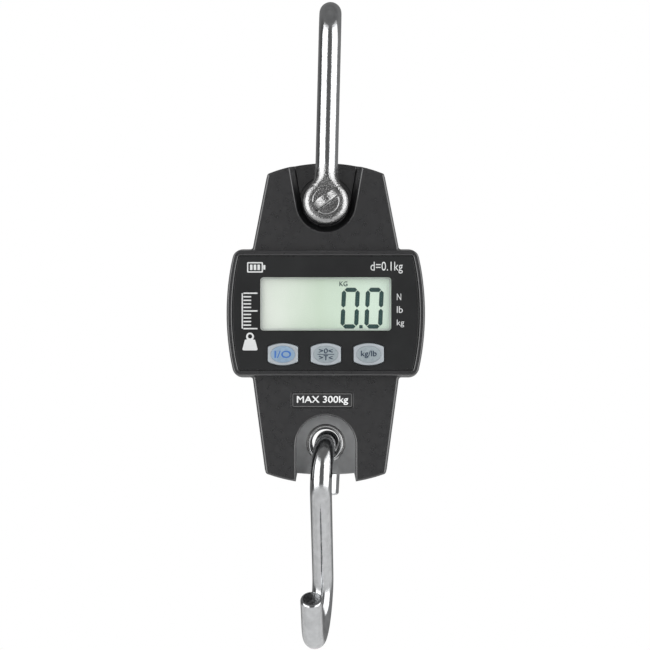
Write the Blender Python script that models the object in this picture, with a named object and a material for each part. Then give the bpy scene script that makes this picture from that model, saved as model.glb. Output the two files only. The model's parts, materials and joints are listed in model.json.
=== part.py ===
"""Digital crane scale: an upright shackle, a load cell in a two-shell casing, and a swinging S-hook.

Metres, +Z up, +X to the right and the display facing -Y. The origin is the seat inside the top of
the shackle, where a crane hook carries the scale. Sizes below are millimetres. Every outline of the
casing is drawn in X and Z around the shackle pin's axis, and every shape is placed by an empty on its
joint's axis.
"""

from math import acos, asin, atan2, cos, degrees, hypot, pi, radians, sin

import bmesh
import bpy
from mathutils import Euler, Matrix, Vector

MM = 0.001
GAP = 0.3  # clearance between pieces that touch or rest on each other

# Shackle
BAR_R = 5.0
SEAT_HEIGHT = 82.0  # pin axis to the seat inside the bow
LEG_Y = 15.0  # middle of the pin to the middle of each leg
SHACKLE_LEAN = 1.4  # degrees that the bow hangs to the right of the casing
EYE_R = 10.3
EYE_INNER_Y = 10.2
EYE_OUTER_Y = 19.6
EYE_CHAMFER = 1.6
PIN_R = 4.5
PIN_HOLE_R = 4.7
COLLAR_R = 6.1
COLLAR_T = 2.4
PIN_END_Y = 20.8
LUG_R = 6.8
LUG_T = 4.3
LUG_HOLE_R = 2.7
LUG_TURN = 37.0  # degrees that the lug stands turned from level

# Casing, seen from the front
CASE_TOP = 18.6
CASE_SHOULDER_X = 26.8
CASE_SHOULDER_Z = 13.4
CASE_WAIST_X = 33.3
CASE_WAIST_TOP = -19.9
CASE_WAIST_BOTTOM = -78.7
CASE_FOOT_X = 27.6
CASE_FOOT_Z = -121.5
CASE_BOTTOM = -126.4
FOOT_SOFT = 1.6  # radius of the casing's corners beside the notch
CASE_CORNER_R = 2.0
BOX_Z = -49.3  # middle of the display box
BOX_HALF_H = 29.2
BOX_HALF_W = 45.2
BOX_CORNER_X = 41.6
BOX_CORNER_R = 5.0
NOTCH_R = 13.3
POCKET_R = 13.0
POCKET_FLARE = 10.0  # degrees that the pocket's sides open upwards
POCKET_DRAFT = 2.0  # how much narrower the pocket is at its floor

# Casing, front to back
WALL = 2.0
CASE_Y = 15.0  # depth of each shell's plain faces
BOX_Y = 20.0  # depth of the display box, and of the battery box behind
DRAFT = 1.0  # how much smaller each shell is at its face than at the joint
BOX_DRAFT = 0.6  # how much more than that the boxes are
POCKET_Y = 9.0
LINER = 1.5  # wall around the pocket, the notch and the battery bay
PARTING = 0.15  # half the gap between the shells
BOSS_R = 3.2
POST_R = 2.3
FAR = 40.0  # past everything, for cuts that run out of the casing

# Load cell
CELL_HALF_W = 17.0
CELL_Y = 6.0
SLOT_PLAY = 0.4  # between the cell's faces and the shells
CELL_TOP = 14.0
CELL_BOTTOM = -122.1
HOOK_Z = -108.0  # axis of the hook's hole, below the pin
HOOK_HOLE_R = 6.2
COUNTERSINK = 2.5
CELL_SCREWS = ((-11.5, -24.0), (11.5, -24.0))
CELL_MIDDLE = -54.0  # middle of the two joined eyes where the plate bends
CELL_EYE_R = 5.5
CELL_EYE_X = 7.5

# Hook, in its own plane, from the middle of the hook's hole
HOOK_R = 4.9
HOOK_SOFT = 1.2  # how far the edges of both ends are eased
HOOK_SIDE = 0.6  # how far the bar lies to the right in its hole
HOOK_TOP_BEND = 15.0
HOOK_TOP_RISE = 0.45  # how far the bar lies above the middle of the hole
HOOK_BOWL_BEND = 17.0
HOOK_BOWL_Y = -4.0
HOOK_BOWL_Z = -70.9
HOOK_TAIL = 10.9
HOOK_TIP = 17.0
HOOK_TIP_TURN = 57.0  # degrees of the bowl between its lowest point and the tip
HOOK_YAW = 7.1
HOOK_LEAN = 3.0

# Display
RIM = 2.6
RECESS_Y = 18.9
PANEL_Y = (19.8, 19.2)
INNER_Y = 17.5  # inside of the display box's front wall
WINDOW = (57.6, 23.4, -45.3)
KEY_X = 18.9
KEY_Z = -67.5
KEY_W = 13.3
KEY_H = 9.7
KEY_SIDE_H = 6.5
KEY_FACE_Y = 20.7
KEY_BACK_Y = 16.2
PLUNGER_R = 1.6
KEY_NAMES = ("power", "hold", "unit")
LCD = (60.5, 26.0)
BOARD = (76.0, 50.0)
BOARD_Y = (11.6, 10.0)
BOARD_SCREWS = tuple((x, z) for x in (-35.3, 35.3) for z in (-29.5, -69.5))
PLUG_X, PLUG_Z = 9.0, -63.3
WIRE_DZ = 12.0  # height of the battery wires above and below the box's middle

# Batteries
CELL_AAA = (5.25, 44.5)
BUTTON_R = 1.9
BATTERY_Y = 13.2
BATTERY_PITCH = 10.8
BAY = (53.0, 34.6)
BAY_FLOOR_Y = 7.6
COVER = (58.0, 39.6)
COVER_TAB = (13.0, 8.0)
COVER_Y = (18.6, 20.0)
COVER_SCREW_Z = BOX_Z - COVER[1] / 2 - 3.6

# Casing screws: x and z
SCREW_ROWS = ((22.0, -7.0), (37.5, BOX_Z), (21.6, -112.0))
SHELL_SCREWS = tuple((s * x, z) for x, z in SCREW_ROWS for s in (-1, 1))

LABEL = (26.9, 6.4, -88.0)  # width, height and middle height
LABEL_X = -1.6


# ---------------------------------------------------------------- outlines


def arc(cx, cz, r, start, end, steps):
    """Points along an arc, in degrees, both ends included."""
    turns = [radians(start + (end - start) * i / steps) for i in range(steps + 1)]
    return [(cx + r * cos(t), cz + r * sin(t)) for t in turns]


def circle(cx, cz, r, steps=24):
    return arc(cx, cz, r, 0, 360, steps)[:-1]


def rounded(corners, steps=4):
    """A closed outline from (x, z, radius) corners, each turned on its radius."""
    points = []
    for i, (x, z, r) in enumerate(corners):
        here = Vector((x, z))
        before = (Vector(corners[i - 1][:2]) - here).normalized()
        after = (Vector(corners[(i + 1) % len(corners)][:2]) - here).normalized()
        if r == 0:
            points.append((x, z))
            continue
        half = acos(max(-1.0, min(1.0, before.dot(after)))) / 2
        middle = here + (before + after).normalized() * (r / sin(half))
        first = here + before * (r / abs(sin(half)) * cos(half)) - middle
        last = here + after * (r / abs(sin(half)) * cos(half)) - middle
        start = atan2(first.y, first.x)
        turn = (atan2(last.y, last.x) - start + pi) % (2 * pi) - pi
        points += [
            (middle.x + r * cos(start + turn * k / steps), middle.y + r * sin(start + turn * k / steps))
            for k in range(steps + 1)
        ]
    return points


def bowed(x, z, rise, steps):
    """Points of a shallow arc from (x, z) to (-x, z) that passes (0, z + rise), its ends left out."""
    r = (x * x + rise * rise) / (2 * rise)
    span = asin(x / abs(r))
    centre = z + rise - r
    turns = [span * (1 - 2 * i / steps) for i in range(1, steps)]
    return [(abs(r) * sin(t), centre + (1 if rise > 0 else -1) * abs(r) * cos(t)) for t in turns]


def block(w, h, z=0.0, r=0.0, x=0.0, steps=3):
    """A rectangle around (x, z)."""
    signs = ((1, -1), (1, 1), (-1, 1), (-1, -1))
    return rounded([(x + sx * w / 2, z + sz * h / 2, r) for sx, sz in signs], steps)


def case_outline(corner=CASE_CORNER_R):
    """The long tapered casing, without its notch, anticlockwise from the right foot."""
    right = [
        (CASE_FOOT_X, CASE_FOOT_Z, corner),
        (CASE_WAIST_X, CASE_WAIST_BOTTOM, 0),
        (CASE_WAIST_X, CASE_WAIST_TOP, 0),
        (CASE_SHOULDER_X, CASE_SHOULDER_Z, corner),
    ]
    top = [(x, z, 0) for x, z in bowed(CASE_SHOULDER_X, CASE_SHOULDER_Z, CASE_TOP - CASE_SHOULDER_Z, 10)]
    left = [(-x, z, r) for x, z, r in reversed(right)]
    foot = bowed(CASE_FOOT_X, CASE_FOOT_Z, CASE_BOTTOM - CASE_FOOT_Z, 10)
    return rounded(right + top + left + [(-x, z, 0) for x, z in foot])


def box_outline():
    """The display box: level ends and sides that bow outwards."""
    rise = BOX_HALF_W - BOX_CORNER_X
    side = [(BOX_CORNER_X + dx, BOX_Z + dz) for dz, dx in bowed(BOX_HALF_H, 0.0, rise, 8)]
    right = [(BOX_CORNER_X, BOX_Z - BOX_HALF_H, BOX_CORNER_R)]
    right += [(x, z, 0) for x, z in reversed(side)]
    right += [(BOX_CORNER_X, BOX_Z + BOX_HALF_H, BOX_CORNER_R)]
    return rounded(right + [(-x, z, r) for x, z, r in reversed(right)], 5)


def notch_outline(r=NOTCH_R, soft=FOOT_SOFT):
    """The arch that leaves the load cell's lower end bare, eased where it runs out past the casing."""
    foot = CASE_FOOT_Z + (CASE_BOTTOM - CASE_FOOT_Z) * (1 - (r / CASE_FOOT_X) ** 2)
    right = arc(r + soft, foot + soft, soft, 270, 180, 4)
    left = [(-x, z) for x, z in reversed(right)]
    ends = [(-r - soft, CASE_BOTTOM - 2), (r + soft, CASE_BOTTOM - 2)]
    return arc(0, HOOK_Z, r, 0, 180, 14) + left + ends + right


def pocket_outline(r=POCKET_R, rise=40.0):
    """The pocket around the shackle's eye: a half circle whose sides flare upwards."""
    flare = radians(POCKET_FLARE)
    x = (r + rise * sin(flare)) / cos(flare)
    return arc(0, 0, r, 180 + POCKET_FLARE, 360 - POCKET_FLARE, 12) + [(x, rise), (-x, rise)]


def key_outline(grow=0.0):
    """A key: flat sides, bowed top and bottom."""
    x = KEY_W / 2 + grow
    z = KEY_SIDE_H / 2 + grow
    rise = (KEY_H - KEY_SIDE_H) / 2
    top = [(x, z)] + bowed(x, z, rise, 6) + [(-x, z)]
    return top + [(-a, -b) for a, b in top]


def inset(outline, distance):
    """The outline moved inwards by a distance, with its corners mitred."""
    count = len(outline)
    points = []
    for i in range(count):
        here = Vector(outline[i])
        before = (here - Vector(outline[i - 1])).normalized()
        after = (Vector(outline[(i + 1) % count]) - here).normalized()
        normal = Vector((-before.y - after.y, before.x + after.x)).normalized()
        share = max(0.3, normal.dot(Vector((-after.y, after.x))))
        points.append(tuple(here + normal * (distance / share)))
    return points


def moved(outline, dx, dz):
    return [(x + dx, z + dz) for x, z in outline]


def panel_outline(grow=0.0):
    """The face panel, a fixed rim in from the display box's front edge."""
    return inset(box_outline(), DRAFT + BOX_DRAFT + RIM - grow)


def cover_outline(grow=0.0):
    """The battery cover: a rectangle with a screw tab below."""
    w, h = COVER[0] / 2 + grow, COVER[1] / 2 + grow
    tab, drop = COVER_TAB[0] / 2 + grow, COVER[1] / 2 + COVER_TAB[1] + grow
    right = [(tab, BOX_Z - drop, 2.0), (tab, BOX_Z - h, 0), (w, BOX_Z - h, 1.5), (w, BOX_Z + h, 1.5)]
    return rounded(right + [(-x, z, r) for x, z, r in reversed(right)], 3)


# ---------------------------------------------------------------- solids


def solid(name, rings, closed=False):
    """An object from rings of (x, y, z) points. Closed joins the last ring to the first."""
    bm = bmesh.new()
    loops = [[bm.verts.new(Vector(p) * MM) for p in ring] for ring in rings]
    pairs = list(zip(loops, loops[1:] + loops[:1])) if closed else list(zip(loops, loops[1:]))
    for low, high in pairs:
        for i in range(len(low)):
            j = (i + 1) % len(low)
            bm.faces.new((low[i], low[j], high[j], high[i]))
    if not closed:
        bm.faces.new(reversed(loops[0]))
        bm.faces.new(loops[-1])
    bmesh.ops.recalc_face_normals(bm, faces=bm.faces)
    mesh = bpy.data.meshes.new(name)
    bm.to_mesh(mesh)
    bm.free()
    obj = bpy.data.objects.new(name, mesh)
    bpy.context.scene.collection.objects.link(obj)
    return obj


def prism(name, outline, y0, y1, end=None):
    """An outline in X and Z run from y0 to y1. End is the outline at y1, if it differs."""
    return solid(name, [[(x, y0, z) for x, z in outline], [(x, y1, z) for x, z in end or outline]])


def stack(name, levels):
    """Outlines with the same number of points, each at its own y, joined in turn."""
    return solid(name, [[(x, y, z) for x, z in outline] for y, outline in levels])


def turned(name, profile, x=0.0, z=0.0, steps=20):
    """A round piece on an axis along Y, from (y, radius) pairs."""
    return stack(name, [(y, circle(x, z, r, steps)) for y, r in profile])


def tube(name, path, r, sides=12, end_r=None):
    """A round bar along a path in its own Y and Z plane, its ends eased to end_r where that is given."""
    rings = []
    count = len(path)
    spins = [2 * pi * k / sides for k in range(sides)]
    for i, (y, z) in enumerate(path):
        ahead = path[min(i + 1, count - 1)]
        behind = path[max(i - 1, 0)]
        along = Vector((0, ahead[0] - behind[0], ahead[1] - behind[1])).normalized()
        across = along.cross(Vector((1, 0, 0)))
        radius = end_r if end_r and i in (0, count - 1) else r
        middle = Vector((0, y, z))
        right = Vector((1, 0, 0))
        rings.append([tuple(middle + (right * cos(s) + across * sin(s)) * radius) for s in spins])
    return solid(name, rings)


def shaped(obj, operation, tools):
    """Applies a Boolean with each tool in turn, then removes the tools."""
    for tool in tools:
        cut = obj.modifiers.new(operation, "BOOLEAN")
        cut.operation = operation
        cut.solver = "EXACT"
        cut.object = tool
    seen = obj.evaluated_get(bpy.context.evaluated_depsgraph_get())
    mesh = bpy.data.meshes.new_from_object(seen)
    obj.modifiers.clear()
    obj.data = mesh
    for tool in tools:
        bpy.data.objects.remove(tool)
    return obj


def cut(obj, *tools):
    return shaped(obj, "DIFFERENCE", tools)


def join(obj, *tools):
    return shaped(obj, "UNION", tools)


def copies(obj, places):
    """Copies of a piece that share its mesh, each moved in X and Z from the first's own place."""
    name = obj.name
    for i, (x, z) in enumerate(places):
        piece = obj if i == 0 else obj.copy()
        piece.name = f"{name}_{i + 1}"
        if i:
            bpy.context.scene.collection.objects.link(piece)
        piece.location = Vector((x, 0, z)) * MM


# ---------------------------------------------------------------- materials and places


def material(name, colour, roughness, metallic=0.0):
    found = bpy.data.materials.get(name)
    if found:
        return found
    made = bpy.data.materials.new(name)
    made.use_nodes = True
    shader = made.node_tree.nodes["Principled BSDF"]
    shader.inputs["Base Color"].default_value = (*colour, 1.0)
    shader.inputs["Roughness"].default_value = roughness
    shader.inputs["Metallic"].default_value = metallic
    return made


def chrome():
    return material("chrome", (0.62, 0.63, 0.64), 0.12, 1.0)


def steel():
    return material("zinc_steel", (0.55, 0.55, 0.56), 0.3, 1.0)


def black_plastic():
    return material("black_plastic", (0.035, 0.035, 0.036), 0.5)


def place(obj, holder, finish, smooth=True):
    """Hangs a piece on its empty and gives it a material."""
    obj.parent = holder
    obj.data.materials.clear()
    obj.data.materials.append(finish)
    if smooth:
        obj.data.shade_smooth()
        obj.data.set_sharp_from_angle(angle=radians(35))
    return obj


def holder(name, location, rotation=(0, 0, 0), parent=None):
    empty = bpy.data.objects.new(name, None)
    bpy.context.scene.collection.objects.link(empty)
    empty.location = Vector(location) * MM
    empty.rotation_euler = Euler([radians(a) for a in rotation], "XYZ")
    empty.parent = parent
    return empty


# ---------------------------------------------------------------- shackle


def shackle_bow(at):
    """A U of round bar with an eye at each end."""
    bend_z = SEAT_HEIGHT + BAR_R - LEG_Y
    side = [(-LEG_Y, EYE_R - 2.0), (-LEG_Y, bend_z * 0.5)]
    bend = [(y, z) for y, z in arc(0, bend_z, LEG_Y, 180, 0, 12)]
    bow = tube("shackle_bow", side + bend + [(-y, z) for y, z in reversed(side)], BAR_R, 16)
    soft = EYE_CHAMFER
    for side_sign in (-1, 1):
        eye = turned(
            "eye",
            [
                (side_sign * EYE_INNER_Y, EYE_R - soft),
                (side_sign * (EYE_INNER_Y + soft), EYE_R),
                (side_sign * (EYE_OUTER_Y - soft), EYE_R),
                (side_sign * EYE_OUTER_Y, EYE_R - soft),
            ],
            steps=28,
        )
        join(bow, eye)
    bore = prism("bore", circle(0, 0, PIN_HOLE_R, 24), -30, 30)
    return place(cut(bow, bore), at, chrome())


def shackle_pin(at):
    """The screw pin: a shank, a collar and a flat lug to turn it by hand."""
    collar_y = EYE_OUTER_Y + GAP
    pin = turned(
        "shackle_pin",
        [
            (PIN_END_Y, PIN_R - 0.8),
            (PIN_END_Y - 0.8, PIN_R),
            (-collar_y, PIN_R),
            (-collar_y, COLLAR_R),
            (-collar_y - COLLAR_T + 0.6, COLLAR_R),
            (-collar_y - COLLAR_T, COLLAR_R - 0.6),
        ],
        steps=24,
    )
    lug_y = -(collar_y + COLLAR_T + LUG_R - 0.9)
    outline = circle(0, lug_y, LUG_R, 24)
    lug = solid("lug", [[(x, y, z) for x, y in outline] for z in (-LUG_T / 2, LUG_T / 2)])
    hole = circle(0, lug_y, LUG_HOLE_R, 16)
    cut(lug, solid("hole", [[(x, y, z) for x, y in hole] for z in (-LUG_T, LUG_T)]))
    lug.data.transform(Matrix.Rotation(-radians(LUG_TURN), 4, "Y"))
    return place(join(pin, lug), at, chrome())


# ---------------------------------------------------------------- load cell


def load_cell(at):
    """The aluminium spring plate: pin hole above, countersunk hook hole below, S-slots between."""
    foot = [(-x, z) for x, z in bowed(CELL_HALF_W, CELL_BOTTOM + 1.1, -1.1, 6)]
    outline = [(CELL_HALF_W, CELL_BOTTOM + 1.1), (CELL_HALF_W, CELL_TOP - 4)]
    outline += [(CELL_HALF_W - 6, CELL_TOP), (-CELL_HALF_W + 6, CELL_TOP)]
    outline += [(-CELL_HALF_W, CELL_TOP - 4), (-CELL_HALF_W, CELL_BOTTOM + 1.1)] + foot
    plate = prism("load_cell", outline, -CELL_Y, CELL_Y)
    wide = HOOK_HOLE_R + COUNTERSINK + 1.0
    hook_hole = turned(
        "hook_hole",
        [
            (-CELL_Y - 1, wide),
            (-CELL_Y + COUNTERSINK, HOOK_HOLE_R),
            (CELL_Y - COUNTERSINK, HOOK_HOLE_R),
            (CELL_Y + 1, wide),
        ],
        z=HOOK_Z,
        steps=32,
    )
    pin_hole = prism("pin_hole", circle(0, 0, PIN_HOLE_R, 24), -9, 9)
    slits = [prism("slit", block(31, 1.6, CELL_MIDDLE + s * 10, x=-s * 4.5), -9, 9) for s in (-1, 1)]
    eyes = [prism("eye", circle(s * CELL_EYE_X, CELL_MIDDLE, CELL_EYE_R, 20), -9, 9) for s in (-1, 1)]
    waist = prism("waist", block(14, 3.2, CELL_MIDDLE), -9, 9)
    fixings = [prism("fixing", circle(x, z, 1.9, 12), -9, 9) for x, z in CELL_SCREWS]
    cut(plate, hook_hole, pin_hole, *slits, *eyes, waist, *fixings)
    return place(plate, at, material("cast_grey", (0.16, 0.165, 0.165), 0.45, 0.6))


def strain_gauges(at):
    """Four foil gauges bonded above and below the load cell's two eyes."""
    reach = CELL_EYE_R - GAP - 0.9
    places = [(sx * CELL_EYE_X, CELL_MIDDLE + sz * reach) for sx in (-1, 1) for sz in (-1, 1)]
    pad = prism("strain_gauge", block(2.4, 0.5), -2.5, 2.5)
    copies(place(pad, at, material("gauge_foil", (0.55, 0.32, 0.10), 0.4), False), places)


# ---------------------------------------------------------------- shells


def shell_body(name, side):
    """One half of the casing as a solid: the long case and the box on it. Side is -1 for the front."""
    case, box = case_outline(), box_outline()
    body = prism(name, case, side * PARTING, side * CASE_Y, inset(case, DRAFT))
    return join(body, prism("box", box, side * PARTING, side * BOX_Y, inset(box, DRAFT + BOX_DRAFT)))


def shell_cavity(side):
    """The space inside a shell, kept clear of the pocket, the notch and their liners."""
    case, box = inset(case_outline(CASE_CORNER_R + WALL), WALL), inset(box_outline(), WALL)
    room = prism("cavity", case, side * -1.0, side * (CASE_Y - WALL), inset(case, DRAFT))
    floor_y = INNER_Y if side < 0 else BOX_Y - WALL
    join(room, prism("box_room", box, side * -1.0, side * floor_y, inset(box, DRAFT + BOX_DRAFT)))
    pocket = pocket_outline(POCKET_R + LINER, 60)
    notch = notch_outline(NOTCH_R + LINER)
    return cut(
        room,
        prism("pocket_liner", pocket, side * (POCKET_Y - LINER), side * FAR),
        prism("notch_liner", notch, side * (CELL_Y + SLOT_PLAY), side * FAR),
    )


def cell_slot(side):
    """Room for the load cell in a shell's inner half."""
    top, bottom = CELL_TOP + 0.8, CELL_BOTTOM - 0.9
    outline = block(2 * CELL_HALF_W + 1.2, top - bottom, (top + bottom) / 2)
    return prism("slot", outline, side * -1, side * (CELL_Y + SLOT_PLAY))


def open_ends(side):
    """The pocket for the shackle's eye, the pin's hole and the notch for the hook."""
    wide = pocket_outline(POCKET_R + POCKET_DRAFT * 0.5, 60)
    narrow = pocket_outline(POCKET_R - POCKET_DRAFT, 60)
    return [
        prism("pocket", narrow, side * POCKET_Y, side * (CASE_Y + 3.0), wide),
        prism("pin_way", circle(0, 0, PIN_R + 1.2, 20), side * 5, side * 30),
        prism("notch", notch_outline(), side * -1, side * FAR),
    ]


def boss_end(z):
    """How far from the parting line a screw's boss runs: into the shell's plain face, or the box's."""
    return INNER_Y + 0.5 if abs(z - BOX_Z) < BOX_HALF_H else CASE_Y - WALL + 0.5


def front_shell(at):
    body = shell_body("front_shell", -1)
    cut(body, shell_cavity(-1))
    bosses = [prism("boss", circle(x, z, BOSS_R, 14), -PARTING, -boss_end(z)) for x, z in SHELL_SCREWS]
    near, far = -BOARD_Y[0] - GAP, -INNER_Y - 0.5
    posts = [prism("post", circle(x, z, POST_R, 12), near, far) for x, z in BOARD_SCREWS]
    join(body, *bosses, *posts)
    drills = [prism("drill", circle(x, z, 1.6, 10), 1, -11.5) for x, z in SHELL_SCREWS]
    drills += [prism("drill", circle(x, z, 1.3, 10), -5, -16.5) for x, z in BOARD_SCREWS]
    recess = prism("recess", panel_outline(GAP), -RECESS_Y, -BOX_Y - 1)
    window = prism("window", block(WINDOW[0] + 1, WINDOW[1] + 1, WINDOW[2], 1.5), -10, -30)
    keys = [prism("key_way", moved(key_outline(GAP), x, KEY_Z), -10, -30) for x in (-KEY_X, 0, KEY_X)]
    w, h, z = LABEL
    label = prism("label", block(w + 2 * GAP, h + 2 * GAP, z, 0.6, LABEL_X), -CASE_Y + 0.8, -CASE_Y - 1)
    cut(body, cell_slot(-1), *open_ends(-1), *drills, recess, window, *keys, label)
    return place(body, at, black_plastic())


def rear_shell(at):
    body = shell_body("rear_shell", 1)
    bay = block(BAY[0] + 2 * LINER, BAY[1] + 2 * LINER, BOX_Z)
    room = cut(
        shell_cavity(1),
        prism("bay_wall", bay, CELL_Y + SLOT_PLAY, FAR),
        prism("ledge", cover_outline(LINER + GAP), COVER_Y[0] - GAP - LINER, FAR),
        *[prism("boss", circle(x, z, BOSS_R + 1.0, 16), -2, FAR) for x, z in SHELL_SCREWS],
        *[prism("boss", circle(x, z, 3.4, 14), 5, FAR) for x, z in CELL_SCREWS],
        prism("boss", circle(0, COVER_SCREW_Z, BOSS_R, 14), 9.0, FAR),
    )
    cut(body, room)
    drills = [prism("drill", circle(x, z, 1.7, 12), -1, 30) for x, z in SHELL_SCREWS]
    heads = [prism("head", circle(x, z, 3.0, 16), 4.0, 30) for x, z in SHELL_SCREWS]
    fixings = [prism("fixing", circle(x, z, 1.8, 12), 5, 11.5) for x, z in CELL_SCREWS]
    hollow = prism("bay", block(*BAY, BOX_Z), BAY_FLOOR_Y, FAR)
    seat = prism("seat", cover_outline(GAP), COVER_Y[0] - GAP, FAR)
    lock = prism("lock", circle(0, COVER_SCREW_Z, 1.5, 12), 11.0, FAR)
    ways = [prism("wire_way", block(3, 2.4, BOX_Z + z, x=27), 9, 11.5) for z in (-WIRE_DZ, WIRE_DZ)]
    cut(body, cell_slot(1), *open_ends(1), *drills, *heads, *fixings, hollow, seat, lock, *ways)
    return place(body, at, black_plastic())


def screw(name, head_y, head_r, head_t, shank_r, length, side=-1):
    """A pan-head screw on the Y axis. Its shank runs from head_y towards side."""
    profile = [
        (head_y - side * head_t, head_r * 0.7),
        (head_y - side * head_t * 0.6, head_r),
        (head_y, head_r),
        (head_y, shank_r),
        (head_y + side * (length - 1), shank_r),
        (head_y + side * length, shank_r * 0.4),
    ]
    made = turned(name, profile, steps=12)
    slots = [
        prism("slot", block(*size), head_y - side * (head_t - 0.8), head_y - side * (head_t + 1))
        for size in ((head_r, 0.7), (0.7, head_r))
    ]
    return cut(made, *slots)


def shell_screws(at):
    copies(place(screw("shell_screw", 4.3, 2.5, 1.8, 1.3, 13.0), at, steel()), SHELL_SCREWS)


def cell_screws(at):
    copies(place(screw("cell_screw", -CELL_Y - GAP, 2.7, 1.4, 1.4, 16.0, 1), at, steel()), CELL_SCREWS)


def board_screws(at):
    copies(place(screw("board_screw", -BOARD_Y[1] + GAP, 2.0, 1.2, 0.95, 6.0), at, steel()), BOARD_SCREWS)


# ---------------------------------------------------------------- display


def face_panel(at):
    """The glossy black overlay, open at the window and the keys."""
    panel = prism("face_panel", panel_outline(), -PANEL_Y[0], -PANEL_Y[1])
    window = prism("window", block(WINDOW[0], WINDOW[1], WINDOW[2], 1.3), -30, -10)
    keys = [prism("key_way", moved(key_outline(GAP), x, KEY_Z), -30, -10) for x in (-KEY_X, 0, KEY_X)]
    return place(cut(panel, window, *keys), at, material("gloss_black", (0.02, 0.021, 0.021), 0.12))


def display_lens(at):
    outline = block(WINDOW[0] - 2 * GAP, WINDOW[1] - 2 * GAP, WINDOW[2], 1.1)
    lens = prism("display_lens", outline, -PANEL_Y[0], -18.6)
    return place(lens, at, material("clear", (0.9, 0.93, 0.9), 0.05))


def lcd_panel(at):
    glass = prism("lcd_panel", block(*LCD, WINDOW[2]), -INNER_Y + GAP, -15.4)
    return place(glass, at, material("lcd", (0.60, 0.70, 0.60), 0.2), False)


def lcd_holder(at):
    """The frame that clamps the liquid-crystal panel to the board."""
    outside = block(LCD[0] + 4.6, LCD[1] + 4.6, WINDOW[2])
    frame = prism("lcd_holder", outside, -INNER_Y + GAP, -BOARD_Y[0] - GAP)
    inside = prism("inside", block(LCD[0] + 2 * GAP, LCD[1] + 2 * GAP, WINDOW[2]), -30, 0)
    return place(cut(frame, inside), at, material("white_plastic", (0.75, 0.75, 0.72), 0.5), False)


def backlight(at):
    sheet = prism("backlight", block(59, 22, WINDOW[2] + 1.5), -15.1, -12.7)
    return place(sheet, at, material("diffuser", (0.8, 0.85, 0.8), 0.4), False)


def zebra_strip(at):
    """The rubber strip that connects the liquid-crystal panel to the board."""
    z = WINDOW[2] - LCD[1] / 2 + 1.5
    strip = prism("zebra_strip", block(56, 2.0, z), -15.1, -BOARD_Y[0] - GAP)
    return place(strip, at, material("zebra", (0.75, 0.3, 0.4), 0.7), False)


def main_board(at):
    board = prism("main_board", block(*BOARD, BOX_Z, 1.0), -BOARD_Y[0], -BOARD_Y[1])
    holes = [prism("hole", circle(x, z, 1.3, 10), -15, -5) for x, z in BOARD_SCREWS]
    bosses = [(x, z) for x, z in SHELL_SCREWS if z == BOX_Z]
    notches = [prism("notch", circle(x, z, BOSS_R + 0.8, 12), -15, -5) for x, z in bosses]
    finish = material("board_green", (0.03, 0.16, 0.06), 0.5)
    return place(cut(board, *holes, *notches), at, finish, False)


def main_chip(at):
    chip = prism("main_chip", block(10, 10, BOX_Z + 6, x=-14), -BOARD_Y[1] + GAP, -8.0)
    return place(chip, at, material("chip_black", (0.02, 0.02, 0.02), 0.5), False)


def crystal(at):
    can = prism("crystal", block(4.6, 10.5, BOX_Z + 6, 2.2, -3), -BOARD_Y[1] + GAP, -6.9)
    return place(can, at, material("tin", (0.6, 0.6, 0.6), 0.35, 0.8))


def capacitors(at):
    can = prism("capacitor", circle(0, 0, 2.2, 12), -BOARD_Y[1] + GAP, -7.0)
    finish = material("tin", (0.6, 0.6, 0.6), 0.35, 0.8)
    copies(place(can, at, finish), [(x, BOX_Z - 12) for x in (-20, -13)])


def sensor_plug(at):
    """The plug that brings the strain gauges' cable to the board."""
    plug = prism("sensor_plug", block(8.0, 3.4, PLUG_Z, x=PLUG_X), -BOARD_Y[1] + GAP, -6.8)
    return place(plug, at, material("white_plastic", (0.75, 0.75, 0.72), 0.5), False)


def key(name, at):
    """A key cap with a flange behind the wall that keeps it in."""
    outline = key_outline()
    levels = [
        (-KEY_FACE_Y, inset(outline, 1.3)),
        (-KEY_FACE_Y + 0.35, inset(outline, 0.5)),
        (-KEY_FACE_Y + 0.8, outline),
        (-INNER_Y + GAP, outline),
        (-INNER_Y + GAP, key_outline(0.5)),
        (-KEY_BACK_Y, key_outline(0.5)),
    ]
    return place(stack(name, levels), at, material("key_silver", (0.50, 0.54, 0.57), 0.45))


def plunger(name, at):
    stem = prism(name, circle(0, 0, PLUNGER_R, 14), -KEY_BACK_Y + GAP, -13.6)
    return place(stem, at, material("plunger", (0.8, 0.8, 0.75), 0.5))


def switch_body(name, x, at):
    """A tactile switch on the board, hollow for its plunger."""
    can = prism(name, block(6, 6, KEY_Z, 0.4, x), -15.0, -BOARD_Y[0] - GAP)
    well = prism("well", circle(x, KEY_Z, PLUNGER_R + GAP, 14), -20, -12.5)
    return place(cut(can, well), at, material("switch_black", (0.03, 0.03, 0.03), 0.5), False)


def capacity_label(at):
    plate = prism("capacity_label", block(*LABEL, 0.5, LABEL_X), -CASE_Y + 0.1, -CASE_Y + 0.5)
    return place(plate, at, material("label", (0.04, 0.04, 0.04), 0.35), False)


# ---------------------------------------------------------------- batteries


def battery(name, z, flip, at):
    """An AAA cell lying along X, with its button to one side."""
    r, length = CELL_AAA
    half = length / 2
    can = [(-half, r - 0.4), (-half + 0.4, r), (half - 1.4, r), (half - 1.0, r - 0.5)]
    made = turned(name, can + [(half - 1.0, BUTTON_R), (half, BUTTON_R)], steps=20)
    turn = Matrix.Rotation(radians(-90 * flip), 4, "Z")
    made.data.transform(Matrix.Translation(Vector((0, BATTERY_Y, z)) * MM) @ turn)
    return place(made, at, material("battery_sleeve", (0.12, 0.13, 0.15), 0.3))


def battery_rows():
    """Each battery's height in the casing, and which way its button points."""
    return [(BOX_Z + (i - 1) * BATTERY_PITCH, 1 if i % 2 else -1) for i in range(3)]


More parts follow.
